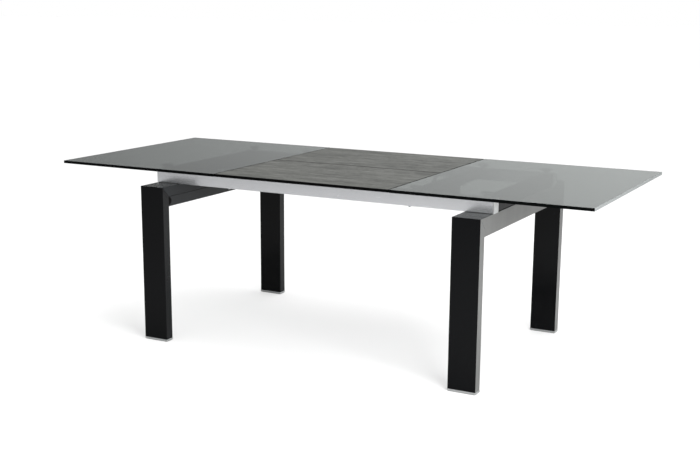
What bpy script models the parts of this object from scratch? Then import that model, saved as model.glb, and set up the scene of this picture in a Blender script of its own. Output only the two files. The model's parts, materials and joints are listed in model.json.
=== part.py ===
"""Extendable dining table: two sliding glass end tops, a folding centre leaf and two portal legs.

Units are metres, +X runs along the table, +Y to its rear edge, +Z up, and z = 0 is the floor.
"""

import math

import bmesh
import bpy
from mathutils import Matrix, Vector

# Overall sizes of the extended table.
TABLE_LENGTH = 2.400
TABLE_WIDTH = 1.000
TABLE_HEIGHT = 0.760
LEAF_LENGTH = 0.800

# Clearances.
TOUCH = 0.0003
SEAM = 0.0012
PIN_CLEARANCE = 0.0001
OVERRUN = 0.010
WELD = 0.002
EDGE = 0.0008

# Top plates.
TOP_THICKNESS = 0.012
TOP_EDGE = 0.0006

# Aluminium side rails with a slot along the top.
RAIL_HEIGHT = 0.048
RAIL_WIDTH = 0.046
RAIL_SETBACK = 0.124
RAIL_WALL = 0.003
RAIL_LIP = 0.004
SLOT_WIDTH = 0.010
CHANNEL_WIDTH = 0.024
CHANNEL_DEPTH = 0.009
CAP_THICKNESS = 0.004

# Glide studs between rails and glass.
STUD_HEIGHT = 0.020
STUD_RADIUS = 0.025
STUD_WAIST = 0.012
STUD_FOOT = 0.017
STUD_NECK = 0.004
STUD_SHOE = 0.011
STUD_DISC_HEIGHT = 0.004
STUD_CONE_HEIGHT = 0.0075
STUD_FLANGE_HEIGHT = 0.002
STUD_SHOE_HEIGHT = 0.007
STUD_EDGE = 0.0006
OUTER_STUD_INSET = 0.036
INNER_STUD_OFFSET = 0.050

# Portal legs.
END_OVERHANG = 0.422
LEG_WIDTH = 0.116
LEG_DEPTH = 0.043
TUBE_WALL = 0.003
LOWER_BAR_HEIGHT = 0.0315
LOWER_BAR_DROP = 0.012
LOWER_BAR_INSET = 0.0012
PLUG_RADIUS = 0.0175
PLUG_TOP_GAP = 0.0015
PLUG_LENGTH = 0.020
NOTCH_STEPS = 12
FOOT_HEIGHT = 0.010
FOOT_LIP = 0.001

# Cross-bars between the rails.
END_BAR_WIDTH = 0.054
END_BAR_INSET = 0.002
INNER_BAR_SIZE = 0.040
INNER_BAR_GAP = 0.002
BAR_WALL = 0.0025
BOLT_RADIUS = 0.007
BOLT_HEIGHT = 0.007
BOLT_EDGE = 0.002

# Leaf and its swing linkage.
REST_ANGLE = math.radians(45.0)
SWEEP = math.radians(125.0)
PACK_OFFSET = 0.004
CARRIER_WIDTH = 0.012
CARRIER_HEIGHT = 0.023
CARRIER_INSET = 0.038
CARRIER_START = 0.030
CARRIER_END_GAP = 0.010
ARM_THICKNESS = 0.008
ARM_GAP = 0.0005
ARM_HALF_WIDTH = 0.009
TUBE_RADIUS = 0.010
JOURNAL_RADIUS = 0.006
PIN_RADIUS = 0.004
FRONT_PIN_INSET = 0.060
REAR_PIN_INSET = 0.040
PIN_DROP = 0.013
BRACKET_THICKNESS = 0.006
BRACKET_GAP = 0.0045
BRACKET_FLANGE = 0.030
BRACKET_BELOW = 0.013
BRACKET_END = 0.020
FOLD_AXIS_RISE = 0.0005

# Leaf rests and hinges.
REST_SPACING = 0.038
REST_WIDTH = 0.024
REST_REACH = 0.030
REST_TOP_GAP = 0.006
REST_FOOT_RISE = 0.010
REST_FOOT_DEPTH = 0.012
REST_NOSE_DEPTH = 0.016
HINGE_SPACING = 0.065
HINGE_LENGTH = 0.070
HINGE_REACH = 0.034
HINGE_THICKNESS = 0.003

# Smoothness of the round pieces.
ROUND_STEPS = 32
PIN_STEPS = 32
SMALL_STEPS = 20

# Heights that follow from the sizes above.
TOP_Z = TABLE_HEIGHT
UNDER_Z = TOP_Z - TOP_THICKNESS
RAIL_TOP_Z = UNDER_Z - STUD_HEIGHT
PORTAL_TOP_Z = RAIL_TOP_Z - RAIL_HEIGHT
BEAM_UNDER_Z = PORTAL_TOP_Z - LEG_DEPTH
LOWER_BAR_UNDER_Z = BEAM_UNDER_Z - LOWER_BAR_HEIGHT

# Distances along and across the table.
HALF_LENGTH = TABLE_LENGTH / 2.0
HALF_WIDTH = TABLE_WIDTH / 2.0
HALF_LEAF = LEAF_LENGTH / 2.0
PORTAL_OUT_X = HALF_LENGTH - END_OVERHANG
PORTAL_IN_X = PORTAL_OUT_X - LEG_WIDTH
RAIL_OUT_Y = HALF_WIDTH - RAIL_SETBACK
RAIL_IN_Y = RAIL_OUT_Y - RAIL_WIDTH
RAIL_MID_Y = (RAIL_OUT_Y + RAIL_IN_Y) / 2.0
INNER_BAR_X = HALF_LEAF + INNER_BAR_GAP

# Linkage positions: the pack of two panels ends centred between the rails.
PACK_SHIFT = HALF_WIDTH / 2.0 + PACK_OFFSET
ARM_LENGTH = PACK_SHIFT / (math.sin(REST_ANGLE) + math.sin(SWEEP - REST_ANGLE))
FRONT_PIN_Y = CARRIER_START + FRONT_PIN_INSET
REAR_PIN_Y = RAIL_IN_Y - CARRIER_END_GAP - REAR_PIN_INSET
PIN_Z = UNDER_Z - PIN_DROP
PIVOT_Z = PIN_Z - ARM_LENGTH * math.cos(REST_ANGLE)
FRONT_PIVOT_Y = FRONT_PIN_Y - ARM_LENGTH * math.sin(REST_ANGLE)
REAR_PIVOT_Y = REAR_PIN_Y - ARM_LENGTH * math.sin(REST_ANGLE)
CARRIER_OUT_X = HALF_LEAF - CARRIER_INSET
CARRIER_IN_X = CARRIER_OUT_X - CARRIER_WIDTH
REST_X = CARRIER_IN_X - REST_SPACING - REST_WIDTH / 2.0
HINGE_X = CARRIER_IN_X - HINGE_SPACING - HINGE_LENGTH / 2.0
FOLD_Z = TOP_Z + FOLD_AXIS_RISE
BRACKET_X = HALF_LEAF + BRACKET_GAP

SIDES = (("left", -1.0), ("right", 1.0))
ENDS = (("front", -1.0), ("rear", 1.0))
AXIS_X = Matrix.Rotation(math.radians(90.0), 4, "Y")


def clear_scene():
    """Remove whatever the start-up scene holds."""
    for obj in list(bpy.data.objects):
        bpy.data.objects.remove(obj, do_unlink=True)


def new_collection(name):
    """Make a collection under the scene and return it."""
    group = bpy.data.collections.new(name)
    bpy.context.scene.collection.children.link(group)
    return group


def make_material(name, colour, roughness, metallic):
    """Make one plain Principled material."""
    material = bpy.data.materials.new(name + "_finish")
    material.use_nodes = True
    shader = material.node_tree.nodes["Principled BSDF"]
    shader.inputs["Base Color"].default_value = (*colour, 1.0)
    shader.inputs["Roughness"].default_value = roughness
    shader.inputs["Metallic"].default_value = metallic
    return material


def glass_finish(name):
    """Smoked glass."""
    return make_material(name, (0.22, 0.24, 0.24), 0.08, 0.0)


def leaf_finish(name):
    """Dark grey streaked leaf surface."""
    return make_material(name, (0.20, 0.20, 0.19), 0.35, 0.0)


def aluminium_finish(name):
    """Satin anodised aluminium."""
    return make_material(name, (0.60, 0.61, 0.63), 0.35, 1.0)


def black_finish(name):
    """Black lacquer."""
    return make_material(name, (0.012, 0.013, 0.015), 0.22, 0.0)


def plastic_finish(name):
    """Matt black plastic."""
    return make_material(name, (0.02, 0.02, 0.02), 0.6, 0.0)


def steel_finish(name):
    """Brushed steel."""
    return make_material(name, (0.45, 0.45, 0.46), 0.4, 1.0)


def add_mesh(name, mesh, origin, material, group):
    """Put a finished mesh in the scene at its origin."""
    obj = bpy.data.objects.new(name, mesh)
    obj.location = origin
    group.objects.link(obj)
    if material is not None:
        mesh.materials.append(material)
    return obj


def smooth_sides(mesh):
    """Shade faces smooth, keeping edges sharper than 30 degrees."""
    for polygon in mesh.polygons:
        polygon.use_smooth = True
    mesh.set_sharp_from_angle(angle=math.radians(30.0))


def bevel_edges(obj, width):
    """Break the edges of a piece."""
    bevel = obj.modifiers.new("edges", "BEVEL")
    bevel.width = width
    bevel.segments = 1
    bevel.limit_method = "ANGLE"
    bevel.angle_limit = math.radians(40.0)


def box(name, low, high, material, group, edge=0.0, origin=None):
    """Block between two corners, with its origin at its centre unless one is given."""
    low = Vector(low)
    high = Vector(high)
    centre = (low + high) / 2.0
    size = high - low
    base = centre if origin is None else Vector(origin)
    mesh = bpy.data.meshes.new(name)
    solid = bmesh.new()
    bmesh.ops.create_cube(solid, size=1.0)
    bmesh.ops.scale(solid, vec=size, verts=solid.verts)
    bmesh.ops.translate(solid, vec=centre - base, verts=solid.verts)
    solid.to_mesh(mesh)
    solid.free()
    obj = add_mesh(name, mesh, base, material, group)
    if edge:
        bevel_edges(obj, edge)
    return obj


def prism(name, outline, travel, material, group, edge=0.0):
    """Closed outline of 3-D points swept along a straight travel, origin at the first point."""
    base = Vector(outline[0])
    mesh = bpy.data.meshes.new(name)
    solid = bmesh.new()
    corners = [solid.verts.new(Vector(point) - base) for point in outline]
    face = solid.faces.new(corners)
    grown = bmesh.ops.extrude_face_region(solid, geom=[face])
    moved = [item for item in grown["geom"] if isinstance(item, bmesh.types.BMVert)]
    bmesh.ops.translate(solid, vec=Vector(travel), verts=moved)
    bmesh.ops.recalc_face_normals(solid, faces=solid.faces)
    solid.to_mesh(mesh)
    solid.free()
    obj = add_mesh(name, mesh, base, material, group)
    if edge:
        bevel_edges(obj, edge)
    return obj


def rod_x(name, x_low, x_high, y, z, radius, steps, material, group, origin=None):
    """Round rod along X."""
    centre = Vector(((x_low + x_high) / 2.0, y, z))
    base = centre if origin is None else Vector(origin)
    mesh = bpy.data.meshes.new(name)
    solid = bmesh.new()
    bmesh.ops.create_cone(
        solid,
        cap_ends=True,
        segments=steps,
        radius1=radius,
        radius2=radius,
        depth=x_high - x_low,
        matrix=Matrix.Translation(centre - base) @ AXIS_X,
    )
    solid.to_mesh(mesh)
    solid.free()
    smooth_sides(mesh)
    return add_mesh(name, mesh, base, material, group)


def turned(name, profile, origin, steps, material, group):
    """Piece turned about Z from (radius, height) points that run top to bottom."""
    mesh = bpy.data.meshes.new(name)
    points = [(radius, 0.0, height) for radius, height in profile]
    links = [(index, index + 1) for index in range(len(points) - 1)]
    mesh.from_pydata(points, links, [])
    obj = add_mesh(name, mesh, origin, material, group)
    screw = obj.modifiers.new("turn", "SCREW")
    screw.axis = "Z"
    screw.angle = math.radians(360.0)
    screw.steps = steps
    screw.render_steps = steps
    screw.use_merge_vertices = True
    screw.merge_threshold = 0.00001
    screw.use_normal_calculate = False
    screw.use_smooth_shade = True
    return obj


def combine(target, other, operation):
    """Cut or join another solid with an exact boolean."""
    step = target.modifiers.new("solid", "BOOLEAN")
    step.operation = operation
    step.solver = "EXACT"
    step.object = other
    other.hide_render = True
    other.display_type = "WIRE"


def attach(child, parent):
    """Parent a piece and keep its place."""
    child.parent = parent
    child.location = child.location - parent.location


# ---- tops -------------------------------------------------------------------------------------


def stud_profile():
    """Glide stud from the glass down to the shoe inside the rail's channel."""
    top = UNDER_Z - TOUCH
    foot = RAIL_TOP_Z + TOUCH
    shoe = RAIL_TOP_Z - RAIL_LIP - TOUCH
    return [
        (0.0, top),
        (STUD_RADIUS - STUD_EDGE, top),
        (STUD_RADIUS, top - STUD_EDGE),
        (STUD_RADIUS, top - STUD_DISC_HEIGHT),
        (STUD_WAIST, top - STUD_DISC_HEIGHT - STUD_CONE_HEIGHT),
        (STUD_WAIST, foot + STUD_FLANGE_HEIGHT + STUD_EDGE),
        (STUD_FOOT, foot + STUD_FLANGE_HEIGHT),
        (STUD_FOOT, foot),
        (STUD_NECK, foot),
        (STUD_NECK, shoe),
        (STUD_SHOE, shoe),
        (STUD_SHOE, shoe - STUD_SHOE_HEIGHT),
        (0.0, shoe - STUD_SHOE_HEIGHT),
    ]


def make_end_top(side, sign, group):
    """One glass end top with its four glide studs, riding on the rails."""
    inner = HALF_LEAF + SEAM / 2.0
    edges = sorted((sign * inner, sign * HALF_LENGTH))
    plate = box(
        side + "_glass_top",
        (edges[0], -HALF_WIDTH, UNDER_Z),
        (edges[1], HALF_WIDTH, TOP_Z),
        glass_finish(side + "_glass_top"),
        group,
        edge=TOP_EDGE,
    )
    stations = (("outer", PORTAL_OUT_X - OUTER_STUD_INSET), ("inner", HALF_LEAF + INNER_STUD_OFFSET))
    for end, way in ENDS:
        for station, along in stations:
            name = side + "_" + end + "_" + station + "_stud"
            stud = turned(
                name,
                stud_profile(),
                (sign * along, way * RAIL_MID_Y, 0.0),
                ROUND_STEPS,
                steel_finish(name),
                group,
            )
            attach(stud, plate)


# ---- rail frame -------------------------------------------------------------------------------


def rail_outline(way):
    """Section of a rail with its top slot, at the left end."""
    half_slot = SLOT_WIDTH / 2.0
    half_channel = CHANNEL_WIDTH / 2.0
    half = RAIL_WIDTH / 2.0
    lip = RAIL_TOP_Z - RAIL_LIP
    floor = lip - CHANNEL_DEPTH
    section = [
        (-half, PORTAL_TOP_Z + TOUCH),
        (half, PORTAL_TOP_Z + TOUCH),
        (half, RAIL_TOP_Z),
        (half_slot, RAIL_TOP_Z),
        (half_slot, lip),
        (half_channel, lip),
        (half_channel, floor),
        (-half_channel, floor),
        (-half_channel, lip),
        (-half_slot, lip),
        (-half_slot, RAIL_TOP_Z),
        (-half, RAIL_TOP_Z),
    ]
    return [(-PORTAL_OUT_X, way * RAIL_MID_Y + across, up) for across, up in section]


def make_rail(end, way, group, tools):
    """One extruded side rail: slotted above, hollow below."""
    name = end + "_side_rail"
    travel = (2.0 * PORTAL_OUT_X, 0.0, 0.0)
    rail = prism(name, rail_outline(way), travel, aluminium_finish(name), group)
    floor = RAIL_TOP_Z - RAIL_LIP - CHANNEL_DEPTH
    hollow = box(
        name + "_hollow",
        (-PORTAL_OUT_X - OVERRUN, way * RAIL_MID_Y - RAIL_WIDTH / 2.0 + RAIL_WALL, PORTAL_TOP_Z + RAIL_WALL),
        (PORTAL_OUT_X + OVERRUN, way * RAIL_MID_Y + RAIL_WIDTH / 2.0 - RAIL_WALL, floor - RAIL_WALL),
        None,
        tools,
    )
    combine(rail, hollow, "DIFFERENCE")


def make_rail_cap(side, sign, end, way, group):
    """Cap closing one end of a rail."""
    name = side + "_" + end + "_rail_cap"
    edges = sorted((sign * (PORTAL_OUT_X + TOUCH), sign * (PORTAL_OUT_X + CAP_THICKNESS)))
    box(
        name,
        (edges[0], way * RAIL_MID_Y - RAIL_WIDTH / 2.0, PORTAL_TOP_Z + TOUCH),
        (edges[1], way * RAIL_MID_Y + RAIL_WIDTH / 2.0, RAIL_TOP_Z),
        aluminium_finish(name),
        group,
        edge=EDGE,
    )


def cross_tube(name, edges, low, high, group, tools):
    """Square tube across the table between the two rails, open at its ends."""
    reach = RAIL_IN_Y - TOUCH
    tube = box(name, (edges[0], -reach, low), (edges[1], reach, high), black_finish(name), group)
    hollow = box(
        name + "_hollow",
        (edges[0] + BAR_WALL, -reach - OVERRUN, low + BAR_WALL),
        (edges[1] - BAR_WALL, reach + OVERRUN, high - BAR_WALL),
        None,
        tools,
    )
    combine(tube, hollow, "DIFFERENCE")


def make_end_bar(side, sign, group, tools):
    """Black cross-bar between the rail ends, on the portal beam."""
    outer = PORTAL_OUT_X - END_BAR_INSET
    edges = sorted((sign * (outer - END_BAR_WIDTH), sign * outer))
    cross_tube(side + "_end_cross_bar", edges, PORTAL_TOP_Z + TOUCH, RAIL_TOP_Z - TOUCH, group, tools)


def make_inner_bar(side, sign, group, tools):
    """Cross-bar just outside the leaf that carries the swing brackets."""
    edges = sorted((sign * INNER_BAR_X, sign * (INNER_BAR_X + INNER_BAR_SIZE)))
    middle = (RAIL_TOP_Z + PORTAL_TOP_Z) / 2.0
    half = INNER_BAR_SIZE / 2.0
    cross_tube(side + "_inner_cross_bar", edges, middle - half, middle + half, group, tools)


def make_rail_bolt(side, sign, end, way, group):
    """Bolt head under a rail at the inner cross-bar."""
    name = side + "_" + end + "_rail_bolt"
    top = PORTAL_TOP_Z
    profile = [
        (0.0, top),
        (BOLT_RADIUS, top),
        (BOLT_RADIUS, top - BOLT_HEIGHT + BOLT_EDGE),
        (BOLT_RADIUS - BOLT_EDGE, top - BOLT_HEIGHT),
        (0.0, top - BOLT_HEIGHT),
    ]
    along = sign * (INNER_BAR_X + INNER_BAR_SIZE / 2.0)
    origin = (along, way * RAIL_MID_Y, 0.0)
    turned(name, profile, origin, SMALL_STEPS, steel_finish(name), group)


def make_leaf_rest(side, sign, end, way, group):
    """Pad on the inner face of a rail that the raised leaf lies on."""
    name = side + "_" + end + "_leaf_rest"
    wall = RAIL_IN_Y - TOUCH
    upper = wall - REST_TOP_GAP
    nose = wall - REST_REACH
    top = UNDER_Z - TOUCH
    start = sign * REST_X - REST_WIDTH / 2.0
    section = [
        (wall, PORTAL_TOP_Z + REST_FOOT_RISE),
        (wall, RAIL_TOP_Z - REST_TOP_GAP),
        (upper, RAIL_TOP_Z),
        (upper, top),
        (nose, top),
        (nose, RAIL_TOP_Z - REST_NOSE_DEPTH),
        (wall - REST_FOOT_DEPTH, PORTAL_TOP_Z + REST_FOOT_RISE),
    ]
    outline = [(start, way * across, up) for across, up in section]
    prism(name, outline, (REST_WIDTH, 0.0, 0.0), plastic_finish(name), group, edge=EDGE)


# ---- portals ----------------------------------------------------------------------------------


def make_beam(side, sign, group, tools):
    """Top beam of a portal, a flat tube with mitred ends."""
    name = side + "_portal_beam"
    start = min(sign * PORTAL_IN_X, sign * PORTAL_OUT_X)
    inner = HALF_WIDTH - LEG_DEPTH
    outline = [
        (start, -HALF_WIDTH, PORTAL_TOP_Z),
        (start, HALF_WIDTH, PORTAL_TOP_Z),
        (start, inner, BEAM_UNDER_Z),
        (start, -inner, BEAM_UNDER_Z),
    ]
    beam = prism(name, outline, (LEG_WIDTH, 0.0, 0.0), black_finish(name), group)
    hollow = box(
        name + "_hollow",
        (start + TUBE_WALL, -HALF_WIDTH - OVERRUN, BEAM_UNDER_Z + TUBE_WALL),
        (start + LEG_WIDTH - TUBE_WALL, HALF_WIDTH + OVERRUN, PORTAL_TOP_Z - TUBE_WALL),
        None,
        tools,
    )
    combine(beam, hollow, "DIFFERENCE")


def make_leg(side, sign, end, way, group, tools):
    """Leg of a portal, a flat tube mitred into the beam."""
    name = side + "_" + end + "_leg"
    start = min(sign * PORTAL_IN_X, sign * PORTAL_OUT_X)
    inner = HALF_WIDTH - LEG_DEPTH
    mitre = TOUCH * math.sqrt(2.0)
    outline = [
        (start, way * HALF_WIDTH, FOOT_HEIGHT + TOUCH),
        (start, way * HALF_WIDTH, PORTAL_TOP_Z - mitre),
        (start, way * inner, BEAM_UNDER_Z - mitre),
        (start, way * inner, FOOT_HEIGHT + TOUCH),
    ]
    leg = prism(name, outline, (LEG_WIDTH, 0.0, 0.0), black_finish(name), group)
    depth = sorted((way * (inner + TUBE_WALL), way * (HALF_WIDTH - TUBE_WALL)))
    hollow = box(
        name + "_hollow",
        (start + TUBE_WALL, depth[0], -OVERRUN),
        (start + LEG_WIDTH - TUBE_WALL, depth[1], PORTAL_TOP_Z + OVERRUN),
        None,
        tools,
    )
    combine(leg, hollow, "DIFFERENCE")


def make_foot(side, sign, end, way, group):
    """Foot plate under a leg."""
    name = side + "_" + end + "_foot_plate"
    edges = sorted((sign * (PORTAL_IN_X - FOOT_LIP), sign * (PORTAL_OUT_X + FOOT_LIP)))
    depth = sorted((way * HALF_WIDTH, way * (HALF_WIDTH - LEG_DEPTH - FOOT_LIP)))
    box(
        name,
        (edges[0], depth[0], 0.0),
        (edges[1], depth[1], FOOT_HEIGHT),
        aluminium_finish(name),
        group,
        edge=EDGE,
    )


def half_round(start, way, radius):
    """Half-round outline against a leg's inner face, at the height of the lower bar."""
    reach = HALF_WIDTH - LEG_DEPTH - TOUCH
    middle = BEAM_UNDER_Z - TOUCH - PLUG_TOP_GAP - PLUG_RADIUS
    points = []
    for index in range(NOTCH_STEPS + 1):
        turn = math.pi * index / NOTCH_STEPS
        across = way * (reach - radius * math.sin(turn))
        points.append((start, across, middle + radius * math.cos(turn)))
    return points


def lower_bar_section(sign, across, wall):
    """Section of a lower bar, or of its hollow when a wall is given, at a distance across."""
    inner = PORTAL_IN_X + LOWER_BAR_INSET + wall
    outer = PORTAL_OUT_X - LOWER_BAR_INSET - wall
    top = BEAM_UNDER_Z - TOUCH - wall
    return [
        (sign * inner, across, LOWER_BAR_UNDER_Z - LOWER_BAR_DROP + wall),
        (sign * outer, across, LOWER_BAR_UNDER_Z + wall),
        (sign * outer, across, top),
        (sign * inner, across, top),
    ]


def make_lower_bar(side, sign, group, tools):
    """Bar under the beam: its underside slopes down inward, and a half-round notch sits beside
    each leg on the inner side."""
    name = side + "_lower_bar"
    reach = HALF_WIDTH - LEG_DEPTH - TOUCH
    lower_bar = prism(
        name,
        lower_bar_section(sign, -reach, 0.0),
        (0.0, 2.0 * reach, 0.0),
        black_finish(name),
        group,
    )
    hollow = prism(
        name + "_hollow",
        lower_bar_section(sign, -reach - OVERRUN, TUBE_WALL),
        (0.0, 2.0 * (reach + OVERRUN), 0.0),
        None,
        tools,
    )
    combine(lower_bar, hollow, "DIFFERENCE")
    depth = PLUG_LENGTH + TOUCH
    start = min(sign * (PORTAL_IN_X - OVERRUN), sign * (PORTAL_IN_X + depth))
    for end, way in ENDS:
        outline = half_round(start, way, PLUG_RADIUS + TOUCH)
        past = OVERRUN * way
        outline = [(start, outline[0][1] + past, outline[0][2])] + outline
        outline.append((start, outline[-1][1] + past, outline[-1][2]))
        notch = prism(name + "_" + end + "_notch", outline, (depth + OVERRUN, 0.0, 0.0), None, tools)
        combine(lower_bar, notch, "DIFFERENCE")


def make_bar_plug(side, sign, end, way, group):
    """Half-round black plug in a lower bar's notch, on the inner side."""
    name = side + "_" + end + "_bar_plug"
    start = min(sign * PORTAL_IN_X, sign * (PORTAL_IN_X + PLUG_LENGTH))
    outline = half_round(start, way, PLUG_RADIUS)
    prism(name, outline, (PLUG_LENGTH, 0.0, 0.0), plastic_finish(name), group)


# ---- leaf and linkage -------------------------------------------------------------------------


def make_panels(group):
    """Two leaf panels; the rear one turns on the front swing frame, the front one on the rear."""
    half_x = HALF_LEAF - SEAM / 2.0
    rear = box(
        "rear_leaf_panel",
        (-half_x, SEAM / 2.0, UNDER_Z),
        (half_x, HALF_WIDTH, TOP_Z),
        leaf_finish("rear_leaf_panel"),
        group,
        edge=TOP_EDGE,
        origin=(0.0, FRONT_PIN_Y, PIN_Z),
    )
    front = box(
        "front_leaf_panel",
        (-half_x, -HALF_WIDTH, UNDER_Z),
        (half_x, -SEAM / 2.0, TOP_Z),
        leaf_finish("front_leaf_panel"),
        group,
        edge=TOP_EDGE,
        origin=(0.0, 0.0, FOLD_Z),
    )
    return rear, front


def make_hinge_plates(rear, front, group):
    """Concealed fold hinges: one plate under each panel at each of two places."""
    top = UNDER_Z - TOUCH
    for side, sign in SIDES:
        for end, way in ENDS:
            name = side + "_" + end + "_hinge_plate"
            depth = sorted((way * SEAM / 2.0, way * HINGE_REACH))
            plate = box(
                name,
                (sign * HINGE_X - HINGE_LENGTH / 2.0, depth[0], top - HINGE_THICKNESS),
                (sign * HINGE_X + HINGE_LENGTH / 2.0, depth[1], top),
                steel_finish(name),
                group,
                edge=TOP_EDGE,
            )
            attach(plate, front if way < 0.0 else rear)


def make_carrier(side, sign, rear, group, tools):
    """Rail under the rear panel that the swing frames pin into."""
    name = side + "_leaf_carrier"
    edges = sorted((sign * CARRIER_IN_X, sign * CARRIER_OUT_X))
    top = UNDER_Z - TOUCH
    carrier = box(
        name,
        (edges[0], CARRIER_START, top - CARRIER_HEIGHT),
        (edges[1], RAIL_IN_Y - CARRIER_END_GAP, top),
        aluminium_finish(name),
        group,
    )
    for end, across in (("front", FRONT_PIN_Y), ("rear", REAR_PIN_Y)):
        bore = rod_x(
            name + "_" + end + "_bore",
            edges[0] - OVERRUN,
            edges[1] + OVERRUN,
            across,
            PIN_Z,
            PIN_RADIUS + PIN_CLEARANCE,
            PIN_STEPS,
            None,
            tools,
        )
        combine(carrier, bore, "DIFFERENCE")
    attach(carrier, rear)


def arm_outline(start, pivot_y):
    """Side view of an arm from the pivot up to the pin, both ends round."""
    along = Vector((0.0, math.sin(REST_ANGLE), math.cos(REST_ANGLE)))
    across = Vector((0.0, math.cos(REST_ANGLE), -math.sin(REST_ANGLE)))
    foot = Vector((start, pivot_y, PIVOT_Z))
    head = foot + along * ARM_LENGTH
    points = []
    for index in range(9):
        turn = math.pi * index / 8
        points.append(head + (across * math.cos(turn) + along * math.sin(turn)) * ARM_HALF_WIDTH)
    for index in range(9):
        turn = math.pi * index / 8
        points.append(foot - (across * math.cos(turn) + along * math.sin(turn)) * ARM_HALF_WIDTH)
    return points


def make_swing_frame(end, pivot_y, pin_y, group, tools):
    """Swing frame: torque tube, two arms with pins, and two journals, as one welded piece."""
    name = end + "_swing_frame"
    arm_out = CARRIER_IN_X - ARM_GAP
    arm_in = arm_out - ARM_THICKNESS
    pivot = (0.0, pivot_y, PIVOT_Z)
    frame = rod_x(
        name,
        -arm_out + WELD,
        arm_out - WELD,
        pivot_y,
        PIVOT_Z,
        TUBE_RADIUS,
        SMALL_STEPS,
        steel_finish(name),
        group,
        origin=pivot,
    )
    journal_end = BRACKET_X + BRACKET_THICKNESS - TOUCH
    for side, sign in SIDES:
        start = min(sign * arm_in, sign * arm_out)
        label = name + "_" + side
        arm = prism(label + "_arm", arm_outline(start, pivot_y), (ARM_THICKNESS, 0.0, 0.0), None, tools)
        combine(frame, arm, "UNION")
        span = sorted((sign * (arm_in + WELD), sign * (CARRIER_OUT_X - TOUCH)))
        pin = rod_x(label + "_pin", span[0], span[1], pin_y, PIN_Z, PIN_RADIUS, PIN_STEPS, None, tools)
        combine(frame, pin, "UNION")
        span = sorted((sign * (arm_in + WELD), sign * journal_end))
        journal = rod_x(
            label + "_journal", span[0], span[1], pivot_y, PIVOT_Z, JOURNAL_RADIUS, PIN_STEPS, None, tools
        )
        combine(frame, journal, "UNION")
    return frame


def make_bracket(side, sign, group, tools):
    """Angle bracket under an inner cross-bar holding both swing frames' journals."""
    name = side + "_swing_bracket"
    top = (RAIL_TOP_Z + PORTAL_TOP_Z) / 2.0 - INNER_BAR_SIZE / 2.0 - TOUCH
    low = PIVOT_Z - BRACKET_BELOW
    start = FRONT_PIVOT_Y - BRACKET_END
    section = [
        (BRACKET_X, top),
        (BRACKET_X, low),
        (BRACKET_X + BRACKET_THICKNESS, low),
        (BRACKET_X + BRACKET_THICKNESS, top - BRACKET_THICKNESS),
        (BRACKET_X + BRACKET_FLANGE, top - BRACKET_THICKNESS),
        (BRACKET_X + BRACKET_FLANGE, top),
    ]
    outline = [(sign * along, start, up) for along, up in section]
    travel = (0.0, REAR_PIVOT_Y + BRACKET_END - start, 0.0)
    bracket = prism(name, outline, travel, black_finish(name), group)
    for end, across in (("front", FRONT_PIVOT_Y), ("rear", REAR_PIVOT_Y)):
        span = sorted((sign * (BRACKET_X - WELD), sign * (BRACKET_X + BRACKET_THICKNESS + WELD)))
        bore = rod_x(
            name + "_" + end + "_bore",
            span[0],
            span[1],
            across,
            PIVOT_Z,
            JOURNAL_RADIUS + PIN_CLEARANCE,
            PIN_STEPS,
            None,
            tools,
        )
        combine(bracket, bore, "DIFFERENCE")


def main():
    """Build the whole table."""
    clear_scene()
    group = new_collection("extendable_dining_table")
    tools = new_collection("cutting_tools")
    for end, way in ENDS:
        make_rail(end, way, group, tools)
    for side, sign in SIDES:
        make_end_top(side, sign, group)
        make_end_bar(side, sign, group, tools)
        make_inner_bar(side, sign, group, tools)
        make_beam(side, sign, group, tools)
        make_lower_bar(side, sign, group, tools)
        make_bracket(side, sign, group, tools)
        for end, way in ENDS:
            make_rail_cap(side, sign, end, way, group)
            make_rail_bolt(side, sign, end, way, group)
            make_leaf_rest(side, sign, end, way, group)
            make_leg(side, sign, end, way, group, tools)
            make_foot(side, sign, end, way, group)
            make_bar_plug(side, sign, end, way, group)
    rear, front = make_panels(group)
    make_hinge_plates(rear, front, group)
    for side, sign in SIDES:
        make_carrier(side, sign, rear, group, tools)
    make_swing_frame("front", FRONT_PIVOT_Y, FRONT_PIN_Y, group, tools)
    make_swing_frame("rear", REAR_PIVOT_Y, REAR_PIN_Y, group, tools)


main()
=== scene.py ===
"""Extendable dining table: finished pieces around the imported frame, with a plain studio."""

import json
import logging
import math
from dataclasses import dataclass, field
from enum import Enum
from functools import lru_cache

import bpy
import numpy as np
from mathutils import Matrix, Vector


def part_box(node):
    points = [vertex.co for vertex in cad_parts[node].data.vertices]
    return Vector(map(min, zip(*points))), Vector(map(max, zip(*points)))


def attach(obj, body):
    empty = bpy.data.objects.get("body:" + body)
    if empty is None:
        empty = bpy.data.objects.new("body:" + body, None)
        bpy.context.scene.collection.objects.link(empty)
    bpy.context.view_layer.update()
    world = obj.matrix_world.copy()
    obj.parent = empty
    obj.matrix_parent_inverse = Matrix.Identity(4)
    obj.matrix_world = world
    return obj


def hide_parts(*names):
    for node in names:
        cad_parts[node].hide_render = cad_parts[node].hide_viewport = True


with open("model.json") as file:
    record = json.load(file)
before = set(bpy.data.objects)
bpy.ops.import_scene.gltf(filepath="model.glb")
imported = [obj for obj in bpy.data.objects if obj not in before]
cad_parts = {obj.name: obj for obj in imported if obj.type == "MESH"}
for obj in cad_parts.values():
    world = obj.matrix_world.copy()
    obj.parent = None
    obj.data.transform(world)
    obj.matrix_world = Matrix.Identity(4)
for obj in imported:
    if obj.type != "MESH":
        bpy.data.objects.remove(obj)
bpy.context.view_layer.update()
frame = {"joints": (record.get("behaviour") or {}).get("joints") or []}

LOG = logging.getLogger("dining_table")

Array = np.ndarray
Triple = tuple[float, float, float]
Colour = tuple[float, float, float, float]
Material = bpy.types.Material
Node = bpy.types.Node
Piece = bpy.types.Object
Tree = bpy.types.NodeTree

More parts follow.
